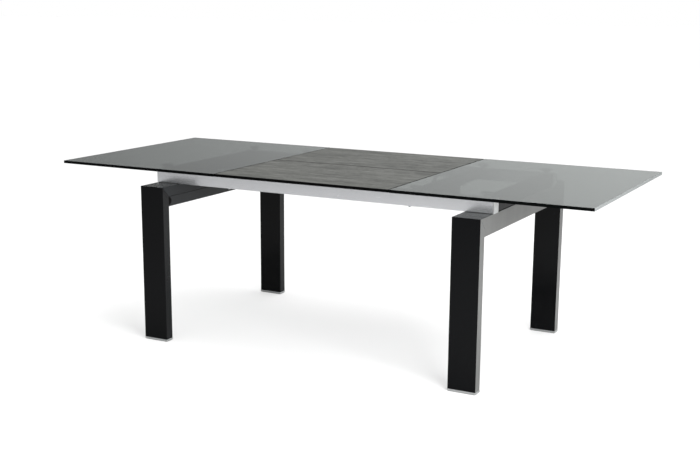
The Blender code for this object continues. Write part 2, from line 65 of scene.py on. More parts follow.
EVEN = (1.0, 1.0, 1.0)
FLAT_FROM = 0.0035  # a face at least this wide both ways is flat, a narrower one is a rounding
SMOOTH_BELOW = math.radians(40.0)
ORIGIN = (0.0, 0.0, 0.0)


class Axis(Enum):
    """Direction that a section or a profile is carried along."""

    X = 0
    Y = 1
    Z = 2


class Place(Enum):
    """Named place, whose value is the sign of its coordinate."""

    @property
    def label(self) -> str:
        """Name of the place as node names write it."""
        return self.name.lower()


class Side(Place):
    """Left or right along the table."""

    LEFT = -1.0
    RIGHT = 1.0


class End(Place):
    """Front or rear across the table."""

    FRONT = -1.0
    REAR = 1.0


# ---- surfaces ---------------------------------------------------------------------------------


def turn_to(points: Array, axis: Axis) -> Array:
    """Carry local (u, v, w) points so that w lies along an axis; the turn is a cyclic swap.

    Args:
        points: Local points, one per row.
        axis: World axis that w becomes.

    Returns:
        World points, right-handed as before.
    """
    return np.roll(points, (axis.value + 1) % 3, axis=1)


def local_from(point: Array, axis: Axis) -> Array:
    """World point as local (u, v, w) for a sweep along an axis, the inverse of turn_to."""
    return np.roll(np.asarray(point, float), -((axis.value + 1) % 3))


def ring_faces(rows: int, columns: int) -> Array:
    """Quads of a grid that is closed around its columns.

    Args:
        rows: Number of rings.
        columns: Points in each ring, anticlockwise as seen from the last ring.

    Returns:
        Point numbers, four per row, facing outward.
    """
    row, column = np.meshgrid(np.arange(rows - 1) * columns, np.arange(columns), indexing="ij")
    ahead = (column + 1) % columns
    quads = np.stack([row + column, row + ahead, row + columns + ahead, row + columns + column], axis=-1)
    return quads.reshape(-1, 4)


def facing_out(rings: Array) -> Array:
    """Rings whose sides face outward.

    The area vector of the first ring is the sum of p_i x p_(i+1) about its centre. Where it
    points away from the last ring, every ring's order is reversed.

    Args:
        rings: Points as (ring, point, xyz).

    Returns:
        The rings in the sense that faces outward.
    """
    centre = rings[0].mean(axis=0)
    first = rings[0] - centre
    area = np.cross(first, np.roll(first, -1, axis=0)).sum(axis=0)
    return rings if area @ (rings[-1].mean(axis=0) - centre) > 0.0 else rings[:, ::-1]


@dataclass
class Shell:
    """Closed surfaces gathered into one piece, each face with its material number."""

    points: list[Array] = field(default_factory=list)
    faces: list[list[int]] = field(default_factory=list)
    slots: list[int] = field(default_factory=list)
    curved: list[bool] = field(default_factory=list)
    count: int = 0

    def add_rings(self, rings: Array, skin: int = 0, ends: tuple[int, int] | None = None) -> None:
        """Add a tube of rings closed by a flat face at each end.

        Args:
            rings: Points as (ring, point, xyz), in either sense.
            skin: Material number of the sides.
            ends: Material numbers of the first and last faces, where they aren't the sides'.
        """
        rings = facing_out(rings)
        rows, columns = rings.shape[:2]
        quads = ring_faces(rows, columns)
        corners = rings.reshape(-1, 3)[quads]
        around = np.linalg.norm(corners[:, 1] - corners[:, 0], axis=1)
        along = np.linalg.norm(corners[:, 2] - corners[:, 1], axis=1)
        rim = np.arange(columns) + self.count
        self.faces += (quads + self.count).tolist()
        self.faces += [rim[::-1].tolist(), (rim + (rows - 1) * columns).tolist()]
        self.curved += (np.minimum(around, along) < FLAT_FROM).tolist() + [False, False]
        self.slots += [skin] * len(quads) + list(ends or (skin, skin))
        self.points.append(rings.reshape(-1, 3))
        self.count += rows * columns

    def paint(self, rule: Array, number: int) -> None:
        """Give faces picked by a mask another material number."""
        self.slots = np.where(rule, number, np.asarray(self.slots)).tolist()

    def face_table(self) -> tuple[Array, Array]:
        """Centres and unit normals of all faces; a normal is the sum of p_i x p_(i+1) around its face.

        Returns:
            Face centres and normals, one per row.
        """
        points = np.concatenate(self.points)
        rims = [points[face] for face in self.faces]
        centres = np.array([rim.mean(axis=0) for rim in rims])
        normals = np.array([np.cross(rim, np.roll(rim, -1, axis=0)).sum(axis=0) for rim in rims])
        return centres, normals / np.maximum(np.linalg.norm(normals, axis=1, keepdims=True), 1e-15)

    def build(self, name: str, materials: list[Material]) -> Piece:
        """Make the piece, at the origin.

        Args:
            name: Name of the piece.
            materials: Materials in the order of their numbers.

        Returns:
            The new object.
        """
        mesh = bpy.data.meshes.new(name)
        mesh.from_pydata(np.concatenate(self.points).tolist(), [], self.faces)
        for material in materials:
            mesh.materials.append(material)
        mesh.polygons.foreach_set("material_index", np.asarray(self.slots, np.int32))
        mesh.update()
        mesh.set_sharp_from_angle(angle=SMOOTH_BELOW)
        mesh.polygons.foreach_set("use_smooth", np.asarray(self.curved, bool))
        piece = bpy.data.objects.new(name, mesh)
        bpy.context.scene.collection.objects.link(piece)
        return piece


def rounded_outline(corners: list[tuple[float, float]], radii: list[float] | float, steps: int = 4) -> Array:
    """Closed outline with an arc at each corner.

    At a corner with unit directions a to the last point and b to the next, the arc starts and ends
    radius / tan(half angle) from the corner, and its points are centre + radius * unit(direction),
    with the direction turned evenly from one tangent point to the other.

    Args:
        corners: Corner points, anticlockwise.
        radii: Arc radius, for all corners or one for each.
        steps: Segments in each arc.

    Returns:
        Outline points, (steps + 1) for each corner.
    """
    tip = np.asarray(corners, float)
    radius = np.broadcast_to(np.asarray(radii, float), len(tip))[:, None]
    back = np.roll(tip, 1, axis=0) - tip
    ahead = np.roll(tip, -1, axis=0) - tip
    back /= np.linalg.norm(back, axis=1, keepdims=True)
    ahead /= np.linalg.norm(ahead, axis=1, keepdims=True)
    cosine = np.clip((back * ahead).sum(axis=1, keepdims=True), -1.0, 1.0)
    half = np.arccos(cosine) / 2.0
    middle = (back + ahead) / np.linalg.norm(back + ahead, axis=1, keepdims=True)
    centre = tip + middle * radius / np.sin(half)
    start = tip + back * radius / np.tan(half) - centre
    end = tip + ahead * radius / np.tan(half) - centre
    share = np.linspace(0.0, 1.0, steps + 1)[None, :, None]
    turn = (math.pi - 2.0 * half)[:, :, None]
    swing = np.sin((1.0 - share) * turn) * start[:, None, :] + np.sin(share * turn) * end[:, None, :]
    return (centre[:, None, :] + swing / np.sin(turn)).reshape(-1, 2)


def eased_edge(levels: tuple[float, float], edge: float) -> tuple[Array, Array]:
    """Insets and levels of the rings of a plate whose two rims are quarter circles.

    A ring at angle t of a quarter circle is drawn in by edge * (1 - cos t) and lies
    edge * (1 - sin t) from the plate's face.

    Args:
        levels: Levels of the plate's two faces.
        edge: Radius of the quarter circles.

    Returns:
        How far each ring is drawn in, and its level.
    """
    quarter = np.linspace(0.0, math.pi / 2.0, 4)
    falling = edge * (1.0 - np.sin(quarter))
    rising = edge * (1.0 - np.cos(quarter))
    return np.concatenate([falling, rising]), np.concatenate([levels[0] + rising, levels[1] - falling])


def rounded_plate(
    plan: tuple[float, float, float, float], levels: tuple[float, float], corner: float, edge: float
) -> Array:
    """Rings of a flat plate with rounded edges; each ring is the plan, rounded and drawn in.

    Args:
        plan: Lowest and highest u, then lowest and highest v.
        levels: Lowest and highest w.
        corner: Radius of the plan's corners, larger than edge.
        edge: Radius of the edges.

    Returns:
        Rings of (u, v, w) points.
    """
    drawn, height = eased_edge(levels, edge)
    around = np.linspace(0.0, math.pi / 2.0, 5)[None, :] + (np.arange(4) * math.pi / 2.0)[:, None]
    right, left = plan[1] - corner, plan[0] + corner
    back, front = plan[3] - corner, plan[2] + corner
    centres = np.array([(right, back), (left, back), (left, front), (right, front)])
    unit = np.stack([np.cos(around), np.sin(around)], axis=-1)
    reach = (corner - drawn)[:, None, None, None]
    flat = (centres[None, :, None, :] + reach * unit[None]).reshape(len(drawn), -1, 2)
    tall = np.broadcast_to(height[:, None, None], flat.shape[:2] + (1,))
    return np.concatenate([flat, tall], axis=2)


def inset_outline(outline: Array, depth: float) -> Array:
    """Outline drawn in by a depth along its points' inward normals.

    The normal at a point is the sum of the normals of its two sides, scaled so that both sides
    move in by the depth.

    Args:
        outline: (u, v) points, anticlockwise or clockwise.
        depth: Distance that each side moves in.

    Returns:
        Drawn-in outline with the same number of points.
    """
    following = np.roll(outline, -1, axis=0)
    ahead = (following - outline) / np.linalg.norm(following - outline, axis=1, keepdims=True)
    behind = np.roll(ahead, 1, axis=0)
    sense = np.sign((outline[:, 0] * following[:, 1] - outline[:, 1] * following[:, 0]).sum())
    normals = sense * np.column_stack([-(ahead[:, 1] + behind[:, 1]), ahead[:, 0] + behind[:, 0]])
    return outline + depth * normals / (1.0 + (ahead * behind).sum(axis=1, keepdims=True))


def block_rings(low: Array, high: Array, axis: Axis, corner: float, edge: float) -> Array:
    """Rings of a rounded block between two world corners, its rounded plan square to an axis.

    Args:
        low: Lowest corner.
        high: Highest corner.
        axis: Axis that the plan is square to.
        corner: Radius of the plan's corners.
        edge: Radius of the edges.

    Returns:
        Rings of world points.
    """
    first = local_from(low, axis)
    last = local_from(high, axis)
    rings = rounded_plate((first[0], last[0], first[1], last[1]), (first[2], last[2]), corner, edge)
    return turn_to(rings.reshape(-1, 3), axis).reshape(rings.shape)


def swept_rings(outline: Array, start: Triple, end: Triple, axis: Axis, soft: float = 0.0004) -> Array:
    """Four rings of an outline carried straight along an axis between two cuts.

    A cut (w, a, b) is the plane w + a u + b v. Each cut's rim is broken: the outermost ring is
    the outline drawn in by soft, and the full outline begins soft further in.

    Args:
        outline: (u, v) points.
        start: Cut at the near end.
        end: Cut at the far end.
        axis: World axis of w.
        soft: Size of the broken rim.

    Returns:
        Rings of world points.
    """
    drawn = inset_outline(outline, soft)
    rings = []
    stations = ((drawn, start, 0.0), (outline, start, soft), (outline, end, -soft), (drawn, end, 0.0))
    for shape, cut, move in stations:
        level = cut[0] + shape @ np.array(cut[1:]) + move
        rings.append(turn_to(np.column_stack([shape, level]), axis))
    return np.stack(rings)


def square_cuts(low: Array, high: Array, axis: Axis) -> tuple[Triple, Triple]:
    """Cuts square to an axis at the two ends of a box."""
    return (low[axis.value], 0.0, 0.0), (high[axis.value], 0.0, 0.0)


def turned_rings(
    profile: list[tuple[float, float]],
    centre: Array | Triple,
    axis: Axis,
    steps: int,
    hexagon: Array | None = None,
) -> Array:
    """Rings of a profile turned about an axis.

    A point at angle t is (r cos t, r sin t, h). Where hexagon is 1, r is scaled by
    cos 30 / cos((t mod 60) - 30), which gives a six-sided ring.

    Args:
        profile: (radius, height) points, rising along the axis on the outside.
        centre: World point that heights and radii are measured from.
        axis: World axis of the turn.
        steps: Points in each ring.
        hexagon: 1 for each profile point that is six-sided, else 0.

    Returns:
        Rings of world points.
    """
    points = np.asarray(profile, float)
    angle = np.arange(steps) * 2.0 * math.pi / steps
    sixth = math.pi / 3.0
    flat = math.cos(sixth / 2.0) / np.cos(np.mod(angle, sixth) - sixth / 2.0)
    mask = np.zeros(len(points)) if hexagon is None else np.asarray(hexagon, float)
    scale = 1.0 + mask[:, None] * (flat[None, :] - 1.0)
    reach = points[:, :1] * scale
    tall = np.broadcast_to(points[:, 1:], reach.shape)
    local = np.stack([reach * np.cos(angle), reach * np.sin(angle), tall], axis=-1)
    return turn_to(local.reshape(-1, 3), axis).reshape(local.shape) + np.asarray(centre, float)


def corners_of(node: str) -> tuple[Array, Array]:
    """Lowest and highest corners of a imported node, as arrays."""
    low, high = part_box(node)
    return np.array(low, float), np.array(high, float)


# ---- shader groups ----------------------------------------------------------------------------


def new_group(name: str, inputs: dict[str, float], outputs: tuple[str, ...]) -> tuple[Tree, Node, Node]:
    """Start a shader group that takes a Vector and named values and puts out named values.

    Args:
        name: Name of the group.
        inputs: Default of each value that goes in, by its name.
        outputs: Names of the values that come out.

    Returns:
        The group's tree, its input node and its output node.
    """
    group = bpy.data.node_groups.new(name, "ShaderNodeTree")
    group.interface.new_socket("Vector", in_out="INPUT", socket_type="NodeSocketVector")
    for label, value in inputs.items():
        socket = group.interface.new_socket(label, in_out="INPUT", socket_type="NodeSocketFloat")
        socket.default_value = value
    for label in outputs:
        group.interface.new_socket(label, in_out="OUTPUT", socket_type="NodeSocketFloat")
    return group, group.nodes.new("NodeGroupInput"), group.nodes.new("NodeGroupOutput")


def feed(tree: Tree, value: object, socket: object) -> None:
    """Set a socket to a plain number or colour, or link an output to it.

    Args:
        tree: Tree of the socket.
        value: Number, colour or output.
        socket: Input socket.
    """
    if isinstance(value, (int, float, tuple)):
        socket.default_value = value
    else:
        tree.links.new(value, socket)


def add_math(tree: Tree, operation: str, *values: object) -> object:
    """Add a Math node on numbers or outputs and return its output.

    Args:
        tree: Tree that the nodes go in.
        operation: Name of the operation.
        values: Numbers or outputs, in the order of the node's inputs.

    Returns:
        The node's output.
    """
    node = tree.nodes.new("ShaderNodeMath")
    node.operation = operation
    for number, value in enumerate(values):
        feed(tree, value, node.inputs[number])
    return node.outputs[0]


def add_noise(tree: Tree, coordinates: object, scale: float, detail: float, roughness: float = 0.5) -> Node:
    """Add a Noise Texture on coordinates and return it; its Fac runs from 0 to 1.

    Args:
        tree: Tree that the nodes go in.
        coordinates: Vector output that it reads.
        scale: Scale of the pattern.
        detail: Levels of finer noise.
        roughness: Weight of the finer levels.

    Returns:
        The node.
    """
    node = tree.nodes.new("ShaderNodeTexNoise")
    node.inputs["Scale"].default_value = scale
    node.inputs["Detail"].default_value = detail
    node.inputs["Roughness"].default_value = roughness
    tree.links.new(coordinates, node.inputs["Vector"])
    return node


def add_stretch(tree: Tree, coordinates: object, scale: Triple, offset: Triple = ORIGIN) -> object:
    """Add a Mapping node that stretches and shifts coordinates and return its vector.

    Args:
        tree: Tree that the nodes go in.
        coordinates: Vector output that it reads.
        scale: Scale along X, Y and Z.
        offset: Shift of the coordinates.

    Returns:
        The moved coordinates.
    """
    node = tree.nodes.new("ShaderNodeMapping")
    node.inputs["Location"].default_value = offset
    node.inputs["Scale"].default_value = scale
    tree.links.new(coordinates, node.inputs["Vector"])
    return node.outputs["Vector"]


def add_range(
    tree: Tree, value: object, source: tuple[float, float], target: tuple[object, object]
) -> object:
    """Add a Map Range node from one span of values to another and return its result.

    Args:
        tree: Tree that the nodes go in.
        value: Output to map.
        source: Values that go in.
        target: Numbers or outputs that come out.

    Returns:
        The node's result.
    """
    node = tree.nodes.new("ShaderNodeMapRange")
    for label, end in zip(("From Min", "From Max", "To Min", "To Max"), source + target):
        feed(tree, end, node.inputs[label])
    tree.links.new(value, node.inputs["Value"])
    return node.outputs["Result"]


def add_blend(tree: Tree, share: object, first: object, second: object) -> object:
    """Add a colour Mix node between two colours and return its result.

    Args:
        tree: Tree that the nodes go in.
        share: Share of the second colour.
        first: Colour at 0.
        second: Colour at 1.

    Returns:
        The mixed colour.
    """
    node = tree.nodes.new("ShaderNodeMix")
    node.data_type = "RGBA"
    for socket, value in ((node.inputs["Factor"], share), (node.inputs[6], first), (node.inputs[7], second)):
        feed(tree, value, socket)
    return node.outputs[2]


def handling_group() -> Tree:
    """Soft variation of gloss left by handling: two scales of noise moved into a narrow band.

    Returns:
        Group from Vector, Base and Spread to Roughness and Height.
    """
    group, start, end = new_group("handling_marks", {"Base": 0.1, "Spread": 0.03}, ("Roughness", "Height"))
    vector, base, spread = start.outputs[:3]
    broad = add_noise(group, vector, 5.0, 3.0).outputs["Fac"]
    fine = add_noise(group, vector, 70.0, 2.0).outputs["Fac"]
    centred = add_math(group, "SUBTRACT", add_math(group, "MULTIPLY_ADD", fine, 0.15, broad), 0.575)
    group.links.new(add_math(group, "MULTIPLY_ADD", centred, spread, base), end.inputs["Roughness"])
    group.links.new(fine, end.inputs["Height"])
    return group


def brushing_group() -> Tree:
    """Fine parallel lines: noise squeezed across the brushing direction and drawn out along it.

    Returns:
        Group from Vector, Base and Spread to Roughness, Shade and Height.
    """
    group, start, end = new_group(
        "fine_brushing", {"Base": 0.3, "Spread": 0.1}, ("Roughness", "Shade", "Height")
    )
    vector, base, spread = start.outputs[:3]
    lines = add_noise(group, vector, 240.0, 3.0, 0.6).outputs["Fac"]
    broad = add_noise(group, vector, 14.0, 2.0).outputs["Fac"]
    centred = add_math(group, "SUBTRACT", lines, 0.5)
    group.links.new(add_math(group, "MULTIPLY_ADD", centred, spread, base), end.inputs["Roughness"])
    group.links.new(add_range(group, broad, (0.3, 0.7), (0.0, 1.0)), end.inputs["Shade"])
    group.links.new(lines, end.inputs["Height"])
    return group


def grain_group() -> Tree:
    """Streaked grain: long soft bands, thin dark pores and soft clouds, added together.

    Returns:
        Group from Vector to Streak, Pore and Height masks.
    """
    group, start, end = new_group("streaked_grain", {}, ("Streak", "Pore", "Height"))
    vector = start.outputs["Vector"]
    shifted = group.nodes.new("ShaderNodeVectorMath")
    shifted.operation = "MULTIPLY_ADD"
    group.links.new(add_noise(group, vector, 2.4, 2.0).outputs["Color"], shifted.inputs[0])
    shifted.inputs[1].default_value = (0.0, 0.06, 0.0)
    group.links.new(vector, shifted.inputs[2])
    wavy = shifted.outputs[0]
    bands = add_noise(group, add_stretch(group, wavy, (4.0, 24.0, 1.0)), 1.0, 6.0, 0.68).outputs["Fac"]
    lines = add_noise(group, add_stretch(group, wavy, (60.0, 170.0, 1.0)), 1.0, 4.0, 0.65).outputs["Fac"]
    clouds = add_noise(group, add_stretch(group, vector, (17.0, 46.0, 1.0)), 1.0, 5.0, 0.78).outputs["Fac"]
    soft = add_math(group, "MULTIPLY_ADD", lines, 0.7, add_math(group, "ADD", clouds, bands))
    streak = add_range(group, soft, (1.05, 1.65), (0.0, 1.0))
    pore = add_range(group, lines, (0.58, 0.70), (0.0, 1.0))
    group.links.new(streak, end.inputs["Streak"])
    group.links.new(pore, end.inputs["Pore"])
    group.links.new(add_math(group, "SUBTRACT", streak, pore), end.inputs["Height"])
    return group


def dust_group() -> Tree:
    """Sparse pale specks: fine noise cut at a high level, gathered where a broad noise is high.

    Returns:
        Group from Vector and Amount to Mask.
    """
    group, start, end = new_group("settled_dust", {"Amount": 0.5}, ("Mask",))
    vector, amount = start.outputs[:2]
    specks = add_range(group, add_noise(group, vector, 420.0, 1.0).outputs["Fac"], (0.66, 0.74), (0.0, 1.0))
    patches = add_range(group, add_noise(group, vector, 3.0, 3.0).outputs["Fac"], (0.4, 0.7), (0.2, 1.0))
    mask = add_math(group, "MULTIPLY", add_math(group, "MULTIPLY", specks, patches), amount)
    group.links.new(mask, end.inputs["Mask"])
    return group


class Effect(Enum):
    """Effects that several finishes share."""

    HANDLING = "handling"
    BRUSHING = "brushing"
    GRAIN = "grain"
    DUST = "dust"


GROUP_MAKERS = {
    Effect.HANDLING: handling_group,
    Effect.BRUSHING: brushing_group,
    Effect.GRAIN: grain_group,
    Effect.DUST: dust_group,
}


@lru_cache(maxsize=None)
def shared_group(effect: Effect) -> Tree:
    """Shader group of an effect, built on its first use."""
    return GROUP_MAKERS[effect]()


# ---- finishes ---------------------------------------------------------------------------------


class Finish:
    """Base of the finishes: makes the material once and hands it out."""

    name: str

    @lru_cache(maxsize=None)
    def material(self) -> Material:
        """The finish's material, built on its first use.

        Returns:
            The material.
        """
        material = bpy.data.materials.new(self.name)
        material.use_nodes = True
        self.dress(material.node_tree, material.node_tree.nodes["Principled BSDF"])
        return material

    def dress(self, tree: Tree, shader: Node) -> None:
        """Fill in the material's nodes."""
        raise NotImplementedError

    @staticmethod
    def place(tree: Tree, effect: Effect, stretch: Triple = EVEN, offset: Triple = ORIGIN) -> Node:
        """Put a shared effect on stretched and shifted Object coordinates and return its node.

        Args:
            tree: Tree that the nodes go in.
            effect: Shared effect.
            stretch: Scale of the coordinates.
            offset: Shift of the coordinates.

        Returns:
            The effect's node.
        """
        coordinates = tree.nodes.new("ShaderNodeTexCoord").outputs["Object"]
        node = tree.nodes.new("ShaderNodeGroup")
        node.node_tree = shared_group(effect)
        tree.links.new(add_stretch(tree, coordinates, stretch, offset), node.inputs["Vector"])
        return node

    def vary_gloss(
        self,
        tree: Tree,
        shader: Node,
        effect: Effect,
        roughness: float,
        spread: float,
        stretch: Triple = EVEN,
    ) -> Node:
        """Let an effect vary the shader's roughness.

        Args:
            tree: Material's tree.
            shader: Its Principled shader.
            effect: Effect with a Roughness output.
            roughness: Middle of the roughness.
            spread: How far the effect moves it.
            stretch: Stretch of the effect's coordinates.

        Returns:
            The effect's node.
        """
        node = self.place(tree, effect, stretch)
        node.inputs["Base"].default_value = roughness
        node.inputs["Spread"].default_value = spread
        tree.links.new(node.outputs["Roughness"], shader.inputs["Roughness"])
        return node

    def dusted(self, tree: Tree, colour: object, amount: float) -> object:
        """Mix pale dust specks into a colour and return the result.

        Args:
            tree: Tree that the nodes go in.
            colour: Colour under the dust.
            amount: Strength of the dust.

        Returns:
            The dusted colour.
        """
        dust = self.place(tree, Effect.DUST)
        dust.inputs["Amount"].default_value = amount
        return add_blend(tree, dust.outputs["Mask"], colour, (0.16, 0.155, 0.145, 1.0))

    @staticmethod
    def emboss(tree: Tree, shader: Node, height: object, depth: float, strength: float) -> None:
        """Feed a height through a Bump node into the shader's normal.

        Args:
            tree: Tree that the nodes go in.
            shader: The material's Principled shader.
            height: Height output.
            depth: Height of the relief, in metres.
            strength: Strength of the relief.
        """
        bump = tree.nodes.new("ShaderNodeBump")
        bump.inputs["Distance"].default_value = depth
        bump.inputs["Strength"].default_value = strength
        tree.links.new(height, bump.inputs["Height"])
        tree.links.new(bump.outputs["Normal"], shader.inputs["Normal"])


def shade_of(colour: Colour, share: float) -> Colour:
    """A colour made lighter or darker by a factor."""
    return tuple(min(value * share, 1.0) for value in colour[:3]) + (1.0,)


@dataclass(frozen=True)
class SmokedGlass(Finish):
    """Clear glass that soaks up light with depth, so its edges look nearly black."""

    name: str = "smoked_glass"
    tint: Colour = (0.31, 0.345, 0.33, 1.0)
    density: float = 182.0
    roughness: float = 0.02
    index: float = 1.5

    def dress(self, tree: Tree, shader: Node) -> None:
        """Transmission in the shader, absorption in the volume and faint handling marks.

        Args:
            tree: The material's tree.
            shader: The material's Principled shader.
        """
        shader.inputs["Base Color"].default_value = (1.0, 1.0, 1.0, 1.0)
        shader.inputs["Transmission Weight"].default_value = 1.0
        shader.inputs["IOR"].default_value = self.index
        self.vary_gloss(tree, shader, Effect.HANDLING, self.roughness, 0.02)
        soak = tree.nodes.new("ShaderNodeVolumeAbsorption")
        soak.inputs["Color"].default_value = self.tint
        soak.inputs["Density"].default_value = self.density
        tree.links.new(soak.outputs["Volume"], tree.nodes["Material Output"].inputs["Volume"])


@dataclass(frozen=True)
class GlassEdge(Finish):
    """Edge of the smoked glass, which closes the plate: polished and dark, or ground and pale."""

    name: str = "polished_glass_edge"
    colour: Colour = (0.0010, 0.0013, 0.0013, 1.0)
    roughness: float = 0.08
    spread: float = 0.05
    index: float = 1.12

    def dress(self, tree: Tree, shader: Node) -> None:
        """One colour, mottled a little by grinding marks that also vary the gloss.

        Args:
            tree: The material's tree.
            shader: The material's Principled shader.
        """
        shader.inputs["IOR"].default_value = self.index
        marks = self.vary_gloss(tree, shader, Effect.HANDLING, self.roughness, self.spread, (6.0, 6.0, 6.0))
        mottled = add_blend(tree, marks.outputs["Height"], self.colour, shade_of(self.colour, 1.25))
        tree.links.new(mottled, shader.inputs["Base Color"])
        self.emboss(tree, shader, marks.outputs["Height"], 0.00005, 0.2)


@dataclass(frozen=True)
class StreakedLeaf(Finish):
    """Dark grey leaf surface with long streaks and thin pores."""

    name: str
    offset: Triple
    dark: Colour = (0.016, 0.0157, 0.0135, 1.0)
    light: Colour = (0.086, 0.085, 0.076, 1.0)
    pore: Colour = (0.008, 0.0078, 0.007, 1.0)
    pore_share: float = 0.8
    roughness: tuple[float, float] = (0.52, 0.34)
    index: float = 1.40

    def dress(self, tree: Tree, shader: Node) -> None:
        """Streaks mixed between two greys, pores over them, roughness and relief from both.

        Args:
            tree: The material's tree.
            shader: The material's Principled shader.
        """
        shader.inputs["IOR"].default_value = self.index
        grain = self.place(tree, Effect.GRAIN, offset=self.offset)
        streak = grain.outputs["Streak"]
        body = add_blend(tree, streak, self.dark, self.light)
        share = add_math(tree, "MULTIPLY", grain.outputs["Pore"], self.pore_share)
        tree.links.new(add_blend(tree, share, body, self.pore), shader.inputs["Base Color"])
        tree.links.new(add_range(tree, streak, (0.0, 1.0), self.roughness), shader.inputs["Roughness"])
        self.emboss(tree, shader, grain.outputs["Height"], 0.0003, 0.5)


@dataclass(frozen=True)
class EdgeBand(Finish):
    """Black edge of the leaf panels, with a slightly uneven satin gloss."""

    name: str = "leaf_edge_band"

    def dress(self, tree: Tree, shader: Node) -> None:
        """One black under handling marks.

        Args:
            tree: The material's tree.
            shader: The material's Principled shader.
        """
        shader.inputs["Base Color"].default_value = (0.0012, 0.0012, 0.0013, 1.0)
        shader.inputs["IOR"].default_value = 1.1
        self.vary_gloss(tree, shader, Effect.HANDLING, 0.5, 0.2)


@dataclass(frozen=True)
class BrushedMetal(Finish):
    """Metal with fine parallel lines, drawn out where the stretch is small."""

    name: str
    colour: Colour
    stretch: Triple
    roughness: float
    spread: float = 0.12
    metallic: float = 0.85
    dull: float = 0.9
    relief: float = 0.3

    def dress(self, tree: Tree, shader: Node) -> None:
        """Lines in roughness and relief over a lightly shaded metal.

        Args:
            tree: The material's tree.
            shader: The material's Principled shader.
        """
        shader.inputs["Metallic"].default_value = self.metallic
        lines = self.vary_gloss(tree, shader, Effect.BRUSHING, self.roughness, self.spread, self.stretch)
        shaded = add_blend(tree, lines.outputs["Shade"], shade_of(self.colour, self.dull), self.colour)
        tree.links.new(shaded, shader.inputs["Base Color"])
        self.emboss(tree, shader, lines.outputs["Height"], 0.00003, self.relief)


@dataclass(frozen=True)
class BlackLacquer(Finish):
    """Gloss black lacquer with a hint of orange peel."""

    name: str = "black_lacquer"
    colour: Colour = (0.0008, 0.0010, 0.0014, 1.0)
    roughness: float = 0.12
    index: float = 1.25

    def dress(self, tree: Tree, shader: Node) -> None:
        """Black base with dust specks, gloss varied by handling, very shallow relief.

        Args:
            tree: The material's tree.
            shader: The material's Principled shader.
        """
        shader.inputs["IOR"].default_value = self.index
        tree.links.new(self.dusted(tree, self.colour, 0.12), shader.inputs["Base Color"])
        marks = self.vary_gloss(tree, shader, Effect.HANDLING, self.roughness, 0.09)
        self.emboss(tree, shader, marks.outputs["Height"], 0.00004, 0.08)


@dataclass(frozen=True)
class SparkedCoat(Finish):
    """Powder coat or matt moulding with a fine spark texture."""

    name: str
    colour: Colour
    roughness: tuple[float, float] = (0.52, 0.68)
    index: float = 1.45
    texture: tuple[float, float] = (1400.0, 3.0)
    relief: tuple[float, float] = (0.0001, 0.3)
    dust: float = 0.0

    def dress(self, tree: Tree, shader: Node) -> None:
        """Grainy relief with roughness that follows it, and dust where the coat holds some.

        Args:
            tree: The material's tree.
            shader: The material's Principled shader.
        """
        colour = self.dusted(tree, self.colour, self.dust) if self.dust else self.colour
        feed(tree, colour, shader.inputs["Base Color"])
        shader.inputs["IOR"].default_value = self.index
        coordinates = tree.nodes.new("ShaderNodeTexCoord").outputs["Object"]
        speck = add_noise(tree, coordinates, *self.texture).outputs["Fac"]
        tree.links.new(add_range(tree, speck, (0.3, 0.7), self.roughness), shader.inputs["Roughness"])
        self.emboss(tree, shader, speck, *self.relief)


GLASS = SmokedGlass()
GLASS_EDGE = GlassEdge()
GLASS_END = GlassEdge("ground_glass_end", (0.20, 0.212, 0.212, 1.0), roughness=0.42, spread=0.15, index=1.45)
LEAF_TOPS = {
    End.FRONT: StreakedLeaf("streaked_leaf_front", (0.37, 0.11, 0.0)),
    End.REAR: StreakedLeaf("streaked_leaf_rear", (1.93, 0.68, 0.0)),
}
LEAF_EDGE = EdgeBand()
ANODISED = BrushedMetal("anodised_aluminium", (0.90, 0.91, 0.935, 1.0), (0.02, 1.0, 1.0), 0.25)
CAP_METAL = BrushedMetal("satin_end_caps", (0.93, 0.94, 0.94, 1.0), (1.0, 0.05, 1.0), 0.42)
SIDE_METAL = BrushedMetal("satin_portal_sides", (0.34, 0.343, 0.337, 1.0), (1.0, 1.0, 0.05), 0.38)
FOOT_METAL = BrushedMetal("satin_foot_plates", (0.64, 0.65, 0.65, 1.0), (0.05, 1.0, 1.0), 0.4)
STEEL = BrushedMetal(
    "brushed_steel",
    (0.52, 0.525, 0.535, 1.0),
    (0.35, 0.35, 1.0),
    0.3,
    spread=0.2,
    metallic=1.0,
    dull=0.8,
    relief=0.2,
)
LACQUER = BlackLacquer()
TOP_LACQUER = BlackLacquer("polished_lacquer", roughness=0.09, index=1.47)
# Satin black finishes for the portal's faces towards the table's middle: their darkness beside the light
# metal of the outer sides is partly painted shade.
INNER_LACQUER_AND_SHADE = BlackLacquer("satin_lacquer", (0.011, 0.0125, 0.014, 1.0), roughness=0.36, index=1.48)
LEG_INNER_LACQUER_AND_SHADE = BlackLacquer("satin_leg_lacquer", (0.0045, 0.0050, 0.0057, 1.0), roughness=0.26, index=1.4)
SATIN_BLACK = SparkedCoat(
    "satin_black",
    (0.014, 0.0145, 0.0155, 1.0),
    roughness=(0.34, 0.5),
    index=1.5,
    texture=(900.0, 2.0),
    relief=(0.00008, 0.25),
    dust=0.3,
)
PLASTIC = SparkedCoat("matt_plastic", (0.010, 0.010, 0.0105, 1.0))
PLUG_PLASTIC = SparkedCoat("plug_plastic", (0.0012, 0.0012, 0.0012, 1.0), roughness=(0.37, 0.53), index=1.2)
RUBBER = SparkedCoat("soft_rubber", (0.016, 0.016, 0.016, 1.0), roughness=(0.67, 0.83))


# ---- small fittings ---------------------------------------------------------------------------


